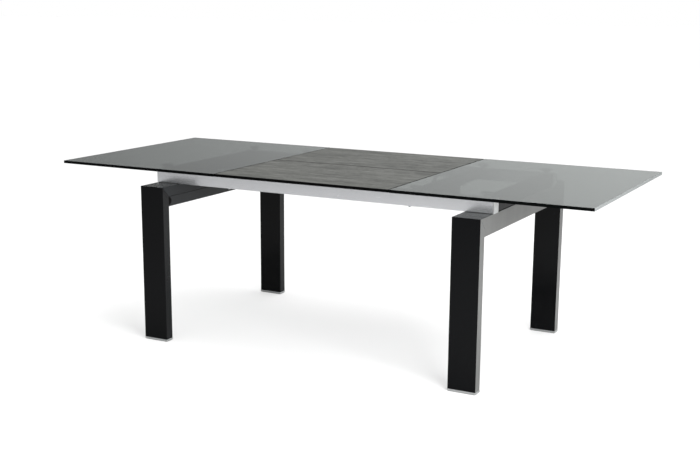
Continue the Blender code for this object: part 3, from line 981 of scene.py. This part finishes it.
def add_screw_head(shell: Shell, seat: Array, radius: float, height: float, skin: int = 0) -> None:
    """Add a domed head with a six-sided socket, hanging down from its seat.

    Args:
        shell: Shell that the head joins.
        seat: Middle of the face that the head bears on.
        radius: Radius of the head.
        height: Height of the head.
        skin: Material number.
    """
    round_part = [(1.0, 0.0), (1.0, 0.45), (0.93, 0.78), (0.78, 1.0)]
    socket = [(0.52, 1.0), (0.48, 0.93), (0.46, 0.35)]
    profile = [(radius * across, height * up) for across, up in round_part + socket]
    six_sided = np.array([0] * len(round_part) + [1] * len(socket))
    shell.add_rings(np.asarray(seat) - turned_rings(profile, ORIGIN, Axis.Z, 30, six_sided), skin)


@dataclass(frozen=True)
class Bush:
    """Flanged bush that stands out of a face along X around a pin."""

    radius: float
    bore: float
    height: float
    soft: float
    sunk: float
    rim: float = 0.0012
    steps: int = 32

    def add_to(self, shell: Shell, place: Array, way: float) -> None:
        """Turn the bush: flange, softened rim and bore.

        Args:
            shell: Shell that the bush joins, as its second material.
            place: Middle of its foot.
            way: 1 or -1, the sense of X that it stands along.
        """
        profile = [
            (self.radius, 0.0),
            (self.radius, self.rim),
            (self.radius - self.soft, self.height),
            (self.bore + 0.0002, self.height),
            (self.bore, self.sunk),
        ]
        shell.add_rings(turned_rings(profile, ORIGIN, Axis.X, self.steps) * way + np.asarray(place), 1)


@dataclass(frozen=True)
class Linkage:
    """Places of the swing linkage's pins and pivots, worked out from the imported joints."""

    pivots: dict[End, float]
    pins: dict[End, float]
    pivot_height: float
    pin_height: float

    @staticmethod
    def read() -> "Linkage":
        """Read the joint positions; both frames are alike, so their pins are as far from their pivots.

        Returns:
            The linkage's places.
        """
        places = {joint["name"]: joint.get("pos_m") for joint in frame["joints"]}
        front, rear = places["leaf_swing"], places["rear_swing_turn"]
        pin = places["rear_leaf_level"]
        return Linkage(
            pivots={End.FRONT: front[1], End.REAR: rear[1]},
            pins={End.FRONT: pin[1], End.REAR: rear[1] + pin[1] - front[1]},
            pivot_height=front[2],
            pin_height=pin[2],
        )


LINKAGE = Linkage.read()


# ---- sub-assemblies ---------------------------------------------------------------------------


@dataclass
class Assembly:
    """Base of the sub-assemblies: keeps its pieces, each riding on the assembly's body."""

    body: str
    pieces: list[Piece] = field(default_factory=list, init=False)

    def seat(self, shell: Shell, node: str, ending: str, *finishes: Finish) -> None:
        """Build a shell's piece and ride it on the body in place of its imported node.

        Args:
            shell: Finished shell.
            node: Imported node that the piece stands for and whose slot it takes.
            ending: What the piece's name adds to the node's.
            finishes: Finishes in the order of their material numbers.
        """
        piece = shell.build(f"{node}_{ending}", [finish.material() for finish in finishes])
        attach(piece, self.body)
        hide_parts(node)
        self.pieces.append(piece)


@dataclass
class EndTop(Assembly):
    """One smoked-glass end top and its four glide studs."""

    side: Side
    edge: float = 0.0009
    corner: float = 0.0022
    soft: float = 0.0006
    shoe_radius: float = 0.0110
    shoe_height: float = 0.0070
    neck_radius: float = 0.0040
    flange_radius: float = 0.0170
    flange_level: float = 0.0116
    waist_radius: float = 0.0120
    disc_radius: float = 0.0250

    def build(self) -> None:
        """Make the plate and the studs."""
        self.make_plate(self.side.label + "_glass_top")
        for end in End:
            for station in ("outer", "inner"):
                self.make_stud(f"{self.side.label}_{end.label}_{station}_stud")

    def make_plate(self, node: str) -> None:
        """Glass plate: dark polished edges all round but the end, which is ground and pale.

        Args:
            node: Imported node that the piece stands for.
        """
        shell = Shell()
        shell.add_rings(block_rings(*corners_of(node), Axis.Z, self.corner, self.edge))
        _, normals = shell.face_table()
        outward = normals[:, 0] * self.side.value
        shell.paint((np.abs(normals[:, 1]) > 0.6) | (outward < -0.6), 1)
        shell.paint(outward > 0.6, 2)
        self.seat(shell, node, "plate", GLASS, GLASS_EDGE, GLASS_END)

    def make_stud(self, node: str) -> None:
        """Turn one stud: plastic shoe, neck, flange, waist, cone and disc, each rim softened.

        Args:
            node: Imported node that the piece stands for.
        """
        low, high = corners_of(node)
        soft = self.soft
        tall = high[2] - low[2]
        profile = [
            (self.shoe_radius - soft, 0.0),
            (self.shoe_radius, soft),
            (self.shoe_radius, self.shoe_height - soft),
            (self.shoe_radius - soft, self.shoe_height),
            (self.neck_radius, self.shoe_height),
            (self.neck_radius, self.flange_level),
            (self.flange_radius - soft, self.flange_level),
            (self.flange_radius, self.flange_level + soft),
            (self.flange_radius, self.flange_level + 0.0016),
            (self.flange_radius - 0.0008, self.flange_level + 0.0022),
            (self.waist_radius + soft, self.flange_level + 0.0026),
            (self.waist_radius, self.flange_level + 0.0034),
            (self.waist_radius, tall - 0.0125),
            (self.waist_radius + 0.0014, tall - 0.0108),
            (self.disc_radius - 0.0014, tall - 0.0052),
            (self.disc_radius - 0.0003, tall - 0.0042),
            (self.disc_radius, tall - 0.0034),
            (self.disc_radius, tall - soft),
            (self.disc_radius - soft, tall),
        ]
        centre = ((low[0] + high[0]) / 2.0, (low[1] + high[1]) / 2.0, low[2])
        shell = Shell()
        shell.add_rings(turned_rings(profile, centre, Axis.Z, 56))
        centres, _ = shell.face_table()
        shell.paint(centres[:, 2] < low[2] + self.shoe_height + 0.0005, 1)
        self.seat(shell, node, "turned", STEEL, PLASTIC)


@dataclass
class Leaf(Assembly):
    """One leaf panel with its hinge plates; the rear one also has the two carriers."""

    end: End
    edge: float = 0.0036
    corner: float = 0.0043
    plate_lift: float = 0.0012
    pocket_half: float = 0.013
    pocket_reach: tuple[float, float] = (0.0004, 0.016)
    hinge_screws: tuple[tuple[float, float], ...] = ((-0.027, 0.017), (0.027, 0.017), (0.0, 0.026))
    carrier_bush: Bush = Bush(radius=0.0075, bore=0.0044, height=0.0016, soft=0.0005, sunk=0.0004)

    def build(self) -> None:
        """Make the panel, the hinge plates and, at the rear, the carriers."""
        node = self.end.label + "_leaf_panel"
        shell = Shell()
        shell.add_rings(block_rings(*corners_of(node), Axis.Z, self.corner, self.edge), 1, (1, 0))
        self.seat(shell, node, "board", LEAF_TOPS[self.end], LEAF_EDGE)
        for side in Side:
            self.make_hinge(f"{side.label}_{self.end.label}_hinge_plate")
            if self.end is End.REAR:
                self.make_carrier(f"{side.label}_leaf_carrier", side.value)

    def make_hinge(self, node: str) -> None:
        """Hinge plate with rounded corners, a link pocket beside the seam and three screws.

        Args:
            node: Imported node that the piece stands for.
        """
        low, high = corners_of(node)
        way = self.end.value
        seam = low[1] if way > 0.0 else high[1]
        middle = (low[0] + high[0]) / 2.0
        base = low[2] + self.plate_lift
        near, far = sorted(seam + way * reach for reach in self.pocket_reach)
        pocket_low = np.array([middle - self.pocket_half, near, low[2]])
        pocket_high = np.array([middle + self.pocket_half, far, base + 0.0002])
        shell = Shell()
        shell.add_rings(block_rings(np.array([low[0], low[1], base]), high, Axis.Z, 0.004, 0.0004))
        shell.add_rings(block_rings(pocket_low, pocket_high, Axis.Z, 0.003, 0.0005), 1)
        for offset, depth in self.hinge_screws:
            add_screw_head(shell, (middle + offset, seam + way * depth, base), 0.0034, 0.0012)
        self.seat(shell, node, "fitted", STEEL, SATIN_BLACK)

    def make_carrier(self, node: str, sign: float) -> None:
        """Carrier bar with rounded ends, a bush at each pin and three screws from below.

        Args:
            node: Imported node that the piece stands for.
            sign: Sign of the side, along X.
        """
        low, high = corners_of(node)
        shell = Shell()
        shell.add_rings(block_rings(low, high, Axis.X, 0.004, 0.0008))
        face = high[0] if sign > 0.0 else low[0]
        for pin in LINKAGE.pins.values():
            self.carrier_bush.add_to(shell, (face, pin, LINKAGE.pin_height), sign)
        for across in (low[1] + 0.02, high[1] - 0.02, (low[1] + high[1]) / 2.0):
            add_screw_head(shell, ((low[0] + high[0]) / 2.0, across, low[2]), 0.0036, 0.0022, 1)
        self.seat(shell, node, "bar", ANODISED, STEEL)


@dataclass
class SwingFrame(Assembly):
    """Torque tube, two arms with pins and two journals, welded into one piece."""

    end: End
    tube_radius: float = 0.0100
    journal_radius: float = 0.0060
    pin_radius: float = 0.0040
    pin_soft: float = 0.0006
    pin_out: float = 0.3617
    arm_half: float = 0.009
    arm_edge: float = 0.0009
    arm_in: float = 0.3415
    arm_out: float = 0.3495

    def build(self) -> None:
        """Make the frame as one piece."""
        node = self.end.label + "_swing_frame"
        _, high = corners_of(node)
        foot = np.array([0.0, LINKAGE.pivots[self.end], LINKAGE.pivot_height])
        head = np.array([0.0, LINKAGE.pins[self.end], LINKAGE.pin_height])
        half = [
            (self.tube_radius, self.arm_out - 0.0010),
            (self.tube_radius - 0.0006, self.arm_out - 0.0002),
            (self.journal_radius, self.arm_out),
            (self.journal_radius, high[0]),
        ]
        tube = [(radius, -along) for radius, along in reversed(half)] + half
        shell = Shell()
        shell.add_rings(turned_rings(tube, foot, Axis.X, 48))
        slim = self.pin_radius - self.pin_soft
        for side in Side:
            shell.add_rings(self.arm_rings(foot, head, side.value))
            start, end = sorted((side.value * (self.arm_in - 0.0012), side.value * self.pin_out))
            pin = [
                (slim, start),
                (self.pin_radius, start + self.pin_soft),
                (self.pin_radius, end - self.pin_soft),
                (slim, end),
            ]
            shell.add_rings(turned_rings(pin, head, Axis.X, 32), 1)
        self.seat(shell, node, "welded", SATIN_BLACK, STEEL)

    def arm_rings(self, foot: Array, head: Array, sign: float) -> Array:
        """Arm plate square to X: half circles about both ends joined by straight sides, edges eased.

        Args:
            foot: Middle of the lower end.
            head: Middle of the upper end.
            sign: Side that the arm stands on.

        Returns:
            Rings of world points.
        """
        along = (head - foot) / np.linalg.norm(head - foot)
        across = np.array([0.0, along[2], -along[1]])
        turn = np.linspace(0.0, math.pi, 13)[:, None]
        drawn, levels = eased_edge((self.arm_in, self.arm_out), self.arm_edge)
        cap = (self.arm_half - drawn)[:, None, None] * (across * np.cos(turn) + along * np.sin(turn))
        rings = np.concatenate([head + cap, foot - cap], axis=1)
        rings[:, :, 0] = sign * levels[:, None]
        return rings


@dataclass
class RailFrame(Assembly):
    """Side rails, caps, cross-bars, brackets, bolts and leaf rests."""

    rail_corner: float = 0.0016
    slot_half: float = 0.005
    channel_half: float = 0.012
    lip: float = 0.004
    channel_floor: float = 0.013
    washer_height: float = 0.0014
    rest_wall: float = 0.006
    rest_reach: float = 0.030
    pad_height: float = 0.003
    bracket_wall: float = 0.006
    bracket_reach: float = 0.030
    bracket_bush: Bush = Bush(radius=0.0105, bore=0.0064, height=0.0018, soft=0.0006, sunk=0.0002, steps=36)

    def build(self) -> None:
        """Make every piece of the frame between the portals."""
        for end in End:
            self.make_rail(end.label + "_side_rail")
            for side in Side:
                self.make_cap(f"{side.label}_{end.label}_rail_cap")
                self.make_bolt(f"{side.label}_{end.label}_rail_bolt")
                self.make_rest(f"{side.label}_{end.label}_leaf_rest", end.value)
        for side in Side:
            self.make_cross_bar(side.label + "_end_cross_bar", LACQUER)
            self.make_cross_bar(side.label + "_inner_cross_bar", SATIN_BLACK)
            self.make_bracket(side.label + "_swing_bracket", side.value)

    def make_rail(self, node: str) -> None:
        """Extruded rail: a box outline with a T-shaped slot in its top.

        Args:
            node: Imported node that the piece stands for.
        """
        low, high = corners_of(node)
        middle = (low[1] + high[1]) / 2.0
        top = high[2]
        slot = [
            (self.slot_half, top),
            (self.slot_half, top - self.lip),
            (self.channel_half, top - self.lip),
            (self.channel_half, top - self.channel_floor),
        ]
        right = [(middle + across, up) for across, up in slot]
        left = [(middle - across, up) for across, up in reversed(slot)]
        outline = [(low[1], low[2]), (high[1], low[2]), (high[1], top), *right, *left, (low[1], top)]
        radii = [self.rail_corner] * 3 + [0.0006] * 2 + [0.0008] * 4 + [0.0006] * 2 + [self.rail_corner]
        shell = Shell()
        shape = rounded_outline(outline, radii)
        shell.add_rings(swept_rings(shape, *square_cuts(low, high, Axis.X), Axis.X, 0.0003))
        self.seat(shell, node, "extrusion", ANODISED)

    def make_cap(self, node: str) -> None:
        """End cap with softened edges.

        Args:
            node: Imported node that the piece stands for.
        """
        shell = Shell()
        shell.add_rings(block_rings(*corners_of(node), Axis.X, 0.0022, 0.0009))
        self.seat(shell, node, "pressed", CAP_METAL)

    def make_bolt(self, node: str) -> None:
        """Bolt head on a washer, under the rail.

        Args:
            node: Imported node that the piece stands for.
        """
        low, high = corners_of(node)
        seat = np.array([(low[0] + high[0]) / 2.0, (low[1] + high[1]) / 2.0, high[2]])
        radius = (high[0] - low[0]) / 2.0
        tall = self.washer_height
        washer = [(radius, 0.0), (radius, tall - 0.0004), (radius - 0.0004, tall)]
        shell = Shell()
        shell.add_rings(seat - turned_rings(washer, ORIGIN, Axis.Z, 40))
        seat[2] -= tall
        add_screw_head(shell, seat, radius * 0.74, seat[2] - low[2])
        self.seat(shell, node, "head", STEEL)

    def make_rest(self, node: str, way: float) -> None:
        """Leaf rest: a moulded bracket on the rail's inner face, with a rubber pad on top.

        Args:
            node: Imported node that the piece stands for.
            way: Sign of the long edge, along Y.
        """
        low, high = corners_of(node)
        wall = high[1] if way > 0.0 else low[1]
        shelf = high[2] - self.pad_height
        section = [
            (0.0, low[2]),
            (0.0, shelf - 0.0227),
            (self.rest_wall, shelf - 0.0167),
            (self.rest_wall, shelf),
            (self.rest_reach, shelf),
            (self.rest_reach, shelf - 0.0327),
            (2.0 * self.rest_wall, low[2]),
        ]
        shape = rounded_outline([(wall - way * across, up) for across, up in section], 0.0012)
        inner, outer = self.rest_wall + 0.0005, self.rest_reach - 0.0005
        near, far = sorted((wall - way * inner, wall - way * outer))
        pad_low = np.array([low[0] + 0.0008, near, shelf - 0.0002])
        pad_high = np.array([high[0] - 0.0008, far, high[2]])
        shell = Shell()
        shell.add_rings(swept_rings(shape, *square_cuts(low, high, Axis.X), Axis.X))
        shell.add_rings(block_rings(pad_low, pad_high, Axis.Z, 0.0025, 0.0008), 1)
        self.seat(shell, node, "moulded", PLASTIC, RUBBER)

    def make_cross_bar(self, node: str, finish: Finish) -> None:
        """Square tube across the table with softened long edges.

        Args:
            node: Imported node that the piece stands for.
            finish: Finish of the tube.
        """
        low, high = corners_of(node)
        corners = [(low[2], low[0]), (high[2], low[0]), (high[2], high[0]), (low[2], high[0])]
        shell = Shell()
        shape = rounded_outline(corners, 0.0025, 5)
        shell.add_rings(swept_rings(shape, *square_cuts(low, high, Axis.Y), Axis.Y))
        self.seat(shell, node, "tube", finish)

    def make_bracket(self, node: str, sign: float) -> None:
        """Angle bracket with a bush round each journal and two bolts up through its flange.

        Args:
            node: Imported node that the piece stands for.
            sign: Sign of the side, along X.
        """
        low, high = corners_of(node)
        wall = low[0] if sign > 0.0 else high[0]
        under = high[2] - self.bracket_wall
        section = [
            (0.0, high[2]),
            (0.0, low[2]),
            (self.bracket_wall, low[2]),
            (self.bracket_wall, under),
            (self.bracket_reach, under),
            (self.bracket_reach, high[2]),
        ]
        outline = [(up, wall + sign * out) for out, up in section]
        shape = rounded_outline(outline, [0.0008, 0.0012, 0.0012, 0.0040, 0.0012, 0.0008], 5)
        shell = Shell()
        shell.add_rings(swept_rings(shape, *square_cuts(low, high, Axis.Y), Axis.Y))
        for pivot in LINKAGE.pivots.values():
            place = (wall + sign * self.bracket_wall, pivot, LINKAGE.pivot_height)
            self.bracket_bush.add_to(shell, place, sign)
        for across in (low[1] + 0.05, high[1] - 0.05):
            add_screw_head(shell, (wall + sign * 0.019, across, under), 0.0055, 0.0036, 1)
        self.seat(shell, node, "angle", SATIN_BLACK, STEEL)


@dataclass
class Portal(Assembly):
    """One portal: beam, two legs, lower bar with its plugs, and foot plates."""

    side: Side
    edge: float = 0.0016
    tight: float = 0.0003
    bar_slope: float = 0.012
    plug_depth: float = 0.004
    plug_soft: float = 0.0005
    foot_lift: float = 0.0018
    pad_inset: float = 0.003

    def build(self) -> None:
        """Make every piece of the portal."""
        self.make_beam(self.side.label + "_portal_beam")
        self.make_lower_bar(self.side.label + "_lower_bar")
        for end in End:
            name = f"{self.side.label}_{end.label}_"
            self.make_leg(name + "leg", end.value)
            self.make_plug(name + "bar_plug", end.value)
            self.make_foot(name + "foot_plate")

    def seat_tube(self, rings: Array, node: str, ending: str, inner: Finish) -> None:
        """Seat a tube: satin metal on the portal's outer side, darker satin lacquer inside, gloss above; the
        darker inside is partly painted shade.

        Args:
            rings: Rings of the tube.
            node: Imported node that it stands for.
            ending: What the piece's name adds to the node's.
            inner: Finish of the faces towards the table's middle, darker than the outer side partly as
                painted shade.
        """
        shell = Shell()
        shell.add_rings(rings)
        _, normals = shell.face_table()
        outward = normals[:, 0] * self.side.value
        # Outer sides take light metal and the faces towards the middle a darker black: the darker inner
        # faces are partly painted shade, for the table's shadow on them.
        shell.paint(outward > 0.6, 1)
        shell.paint(outward < -0.9, 2)
        shell.paint(normals[:, 2] > 0.9, 3)
        self.seat(shell, node, ending, LACQUER, SIDE_METAL, inner, TOP_LACQUER)

    def make_beam(self, node: str) -> None:
        """Top beam: a rounded section carried along Y and cut at 45 degrees at both ends.

        A point at depth d below the top ends d short of the portal's full width.

        Args:
            node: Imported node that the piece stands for.
        """
        low, high = corners_of(node)
        inner, outer = sorted((low[0], high[0]), key=abs)
        corners = [(low[2], inner), (high[2], inner), (high[2], outer), (low[2], outer)]
        outline = rounded_outline(corners, [self.edge, self.edge, self.edge, self.tight], 5)
        cuts = (low[1] + high[2], -1.0, 0.0), (high[1] - high[2], 1.0, 0.0)
        self.seat_tube(swept_rings(outline, *cuts, Axis.Y), node, "mitred", INNER_LACQUER_AND_SHADE)

    def make_leg(self, node: str, way: float) -> None:
        """Leg: a rounded section carried along Z and cut at 45 degrees at the top.

        A point at depth d behind the outer face ends d below the leg's highest line.

        Args:
            node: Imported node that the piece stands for.
            way: Sign of the long edge, along Y.
        """
        low, high = corners_of(node)
        corners = [(low[0], low[1]), (high[0], low[1]), (high[0], high[1]), (low[0], high[1])]
        outline = rounded_outline(corners, self.edge, 5)
        face = high[1] if way > 0.0 else low[1]
        cuts = (low[2], 0.0, 0.0), (high[2] - way * face, 0.0, way)
        self.seat_tube(swept_rings(outline, *cuts, Axis.Z), node, "mitred", LEG_INNER_LACQUER_AND_SHADE)

    def make_lower_bar(self, node: str) -> None:
        """Lower bar: a rounded section with a sloping underside, carried along Y.

        Args:
            node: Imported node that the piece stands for.
        """
        low, high = corners_of(node)
        inner, outer = sorted((low[0], high[0]), key=abs)
        corners = [(low[2], inner), (high[2], inner), (high[2], outer), (low[2] + self.bar_slope, outer)]
        outline = rounded_outline(corners, [0.0014, 0.0010, self.tight, 0.0014])
        rings = swept_rings(outline, *square_cuts(low, high, Axis.Y), Axis.Y)
        self.seat_tube(rings, node, "tube", INNER_LACQUER_AND_SHADE)

    def make_plug(self, node: str, way: float) -> None:
        """Half-round plug in the bar's inner face, with a softened rim.

        A point at angle t lies radius * cos t above the plug's middle and radius * sin t from its
        flat side.

        Args:
            node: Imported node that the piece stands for.
            way: Sign of the long edge, along Y.
        """
        low, high = corners_of(node)
        middle = (low[2] + high[2]) / 2.0
        flat = high[1] if way > 0.0 else low[1]
        turn = np.linspace(0.0, math.pi, 25)
        inner = min(abs(low[0]), abs(high[0]))
        levels = np.array([inner + self.plug_depth, inner + self.plug_soft, inner])
        radius = (high[2] - low[2]) / 2.0 - np.array([[0.0], [0.0], [self.plug_soft]])
        across = flat - way * radius * np.sin(turn)
        along = np.broadcast_to(self.side.value * levels[:, None], across.shape)
        shell = Shell()
        shell.add_rings(np.stack([along, across, middle + radius * np.cos(turn)], axis=-1))
        self.seat(shell, node, "moulded", PLUG_PLASTIC)

    def make_foot(self, node: str) -> None:
        """Foot plate on a thin glide pad.

        Args:
            node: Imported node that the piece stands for.
        """
        low, high = corners_of(node)
        plate_low = np.array([low[0], low[1], self.foot_lift])
        inset = np.array([self.pad_inset, self.pad_inset, 0.0])
        pad_high = np.array([high[0], high[1], self.foot_lift + 0.0002]) - inset
        shell = Shell()
        shell.add_rings(block_rings(plate_low, high, Axis.Z, 0.0022, 0.0010))
        shell.add_rings(block_rings(low + inset, pad_high, Axis.Z, 0.0022, 0.0006), 1)
        self.seat(shell, node, "plate", FOOT_METAL, RUBBER)


# ---- studio -----------------------------------------------------------------------------------


@dataclass(frozen=True)
class Softbox:
    """Rectangular lamp aimed at a point, which lights the table but is not mirrored in it."""

    name: str
    place: Triple
    target: Triple
    size: tuple[float, float]
    power: float

    def build(self) -> None:
        """Hang the lamp."""
        lamp = bpy.data.lights.new(self.name, "AREA")
        lamp.shape = "RECTANGLE"
        lamp.size, lamp.size_y = self.size
        lamp.energy = self.power
        holder = bpy.data.objects.new(self.name, lamp)
        holder.location = self.place
        aim = Vector(self.target) - Vector(self.place)
        holder.rotation_euler = aim.to_track_quat("-Z", "Y").to_euler()
        holder.visible_camera = False
        holder.visible_glossy = False
        bpy.context.scene.collection.objects.link(holder)


@dataclass
class Studio:
    """Plain pale floor, soft lights and the camera."""

    place: Triple = (2.3019, -4.4366, 1.4750)
    yaw: float = -0.4907
    pitch: float = 0.2186
    roll: float = 0.0056
    lens: float = 59.79
    shift: tuple[float, float] = (0.01236, 0.0329)
    floor_reach: float = 60.0
    floor_level: float = -0.0004
    floor_grey: Colour = (0.49, 0.49, 0.49, 1.0)
    floor_glow: float = 0.505
    floor_dimming: float = 0.15
    side_levels: tuple[float, float] = (0.07, 0.82)
    overhead: float = 0.8
    mirrored_tint: Colour = (0.965, 1.0, 0.99, 1.0)
    lamps: tuple[Softbox, ...] = (
        Softbox("key_softbox", (3.4, -2.6, 2.0), (0.6, 0.0, 0.5), (2.2, 1.8), 240.0),
        Softbox("fill_softbox", (-3.6, -3.6, 3.0), (0.0, 0.0, 0.5), (3.0, 3.0), 10.0),
        Softbox("top_softbox", (0.2, 0.6, 4.4), (0.0, 0.0, 0.5), (4.0, 3.0), 90.0),
    )

    def build(self) -> None:
        """Make the floor, the surroundings, the lights and the camera."""
        bpy.context.scene.view_settings.view_transform = "Standard"
        self.make_floor()
        self.make_surroundings()
        for lamp in self.lamps:
            lamp.build()
        self.make_camera()

    def make_floor(self) -> None:
        """Pale floor whose glow is seen directly and through glass, but lights nothing."""
        reach, level = self.floor_reach, self.floor_level
        mesh = bpy.data.meshes.new("studio_floor")
        square = ((-reach, -reach), (reach, -reach), (reach, reach), (-reach, reach))
        mesh.from_pydata([(x, y, level) for x, y in square], [], [(0, 1, 2, 3)])
        floor = bpy.data.objects.new("studio_floor", mesh)
        bpy.context.scene.collection.objects.link(floor)
        material = bpy.data.materials.new("pale_floor")
        material.use_nodes = True
        mesh.materials.append(material)
        tree = material.node_tree
        tree.nodes.clear()
        path = tree.nodes.new("ShaderNodeLightPath")
        diffuse, black = (tree.nodes.new("ShaderNodeBsdfDiffuse") for _ in range(2))
        diffuse.inputs["Color"].default_value = self.floor_grey
        black.inputs["Color"].default_value = (0.0, 0.0, 0.0, 1.0)
        glow = tree.nodes.new("ShaderNodeEmission")
        seen = add_math(tree, "MAXIMUM", path.outputs["Is Camera Ray"], path.outputs["Is Transmission Ray"])
        feed(tree, add_math(tree, "MULTIPLY", seen, self.floor_glow), glow.inputs["Strength"])
        total = tree.nodes.new("ShaderNodeAddShader")
        feed(tree, diffuse.outputs[0], total.inputs[0])
        feed(tree, glow.outputs[0], total.inputs[1])
        dimmed = tree.nodes.new("ShaderNodeMixShader")
        share = add_math(tree, "MULTIPLY", path.outputs["Is Glossy Ray"], self.floor_dimming)
        for number, value in enumerate((share, total.outputs[0], black.outputs[0])):
            feed(tree, value, dimmed.inputs[number])
        output = tree.nodes.new("ShaderNodeOutputMaterial")
        feed(tree, dimmed.outputs[0], output.inputs["Surface"])

    def make_surroundings(self) -> None:
        """White when seen directly; otherwise a soft grey, brighter to the right and overhead."""
        world = bpy.data.worlds.new("soft_studio")
        world.use_nodes = True
        bpy.context.scene.world = world
        tree = world.node_tree
        tree.nodes.clear()
        parts = tree.nodes.new("ShaderNodeSeparateXYZ")
        feed(tree, tree.nodes.new("ShaderNodeTexCoord").outputs["Generated"], parts.inputs[0])
        sideways = add_math(tree, "MULTIPLY_ADD", parts.outputs["Y"], 0.15, parts.outputs["X"])
        level = add_range(tree, sideways, (-0.75, -0.10), self.side_levels)
        height = add_math(tree, "MAXIMUM", parts.outputs["Z"], 0.0)
        squared = add_math(tree, "MULTIPLY", height, height)
        level = add_math(tree, "MULTIPLY_ADD", squared, self.overhead, level)
        path = tree.nodes.new("ShaderNodeLightPath")
        backdrop = tree.nodes.new("ShaderNodeBackground")
        power = add_range(tree, path.outputs["Is Camera Ray"], (0.0, 1.0), (level, 1.0))
        feed(tree, power, backdrop.inputs["Strength"])
        tint = add_blend(tree, path.outputs["Is Glossy Ray"], (1.0, 1.0, 1.0, 1.0), self.mirrored_tint)
        feed(tree, tint, backdrop.inputs["Color"])
        output = tree.nodes.new("ShaderNodeOutputWorld")
        feed(tree, backdrop.outputs[0], output.inputs["Surface"])

    def make_camera(self) -> None:
        """Camera turned by yaw about the vertical, then pitch and a slight roll."""
        lens = bpy.data.cameras.new("studio_camera")
        lens.sensor_fit = "HORIZONTAL"
        lens.sensor_width = 36.0
        lens.lens = self.lens
        lens.shift_x, lens.shift_y = self.shift
        lens.clip_end = 200.0
        camera = bpy.data.objects.new("studio_camera", lens)
        bpy.context.scene.collection.objects.link(camera)
        flat = math.cos(self.pitch)
        ahead = Vector((math.sin(self.yaw) * flat, math.cos(self.yaw) * flat, -math.sin(self.pitch)))
        level = Vector((math.cos(self.yaw), -math.sin(self.yaw), 0.0))
        upward = level.cross(ahead)
        right = level * math.cos(self.roll) + upward * math.sin(self.roll)
        up = upward * math.cos(self.roll) - level * math.sin(self.roll)
        turn = Matrix((right, up, -ahead)).transposed().to_4x4()
        camera.matrix_world = Matrix.Translation(Vector(self.place)) @ turn
        bpy.context.scene.camera = camera


def main() -> None:
    """Build the studio and every sub-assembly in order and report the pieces."""
    logging.basicConfig(level=logging.INFO, format="%(name)s: %(message)s")
    Studio().build()
    ends: list[Assembly] = []
    for side in Side:
        ends += [EndTop(side.label + "_top", side), Portal("base_frame", side)]
    leaves = [Leaf(end.label + "_leaf", end) for end in reversed(End)]
    swings = [SwingFrame(end.label + "_swing", end) for end in End]
    for assembly in (*ends, *leaves, *swings, RailFrame("base_frame")):
        assembly.build()
        for piece in assembly.pieces:
            LOG.info("%s on %s, %d faces", piece.name, assembly.body, len(piece.data.polygons))


if __name__ == "__main__":
    main()
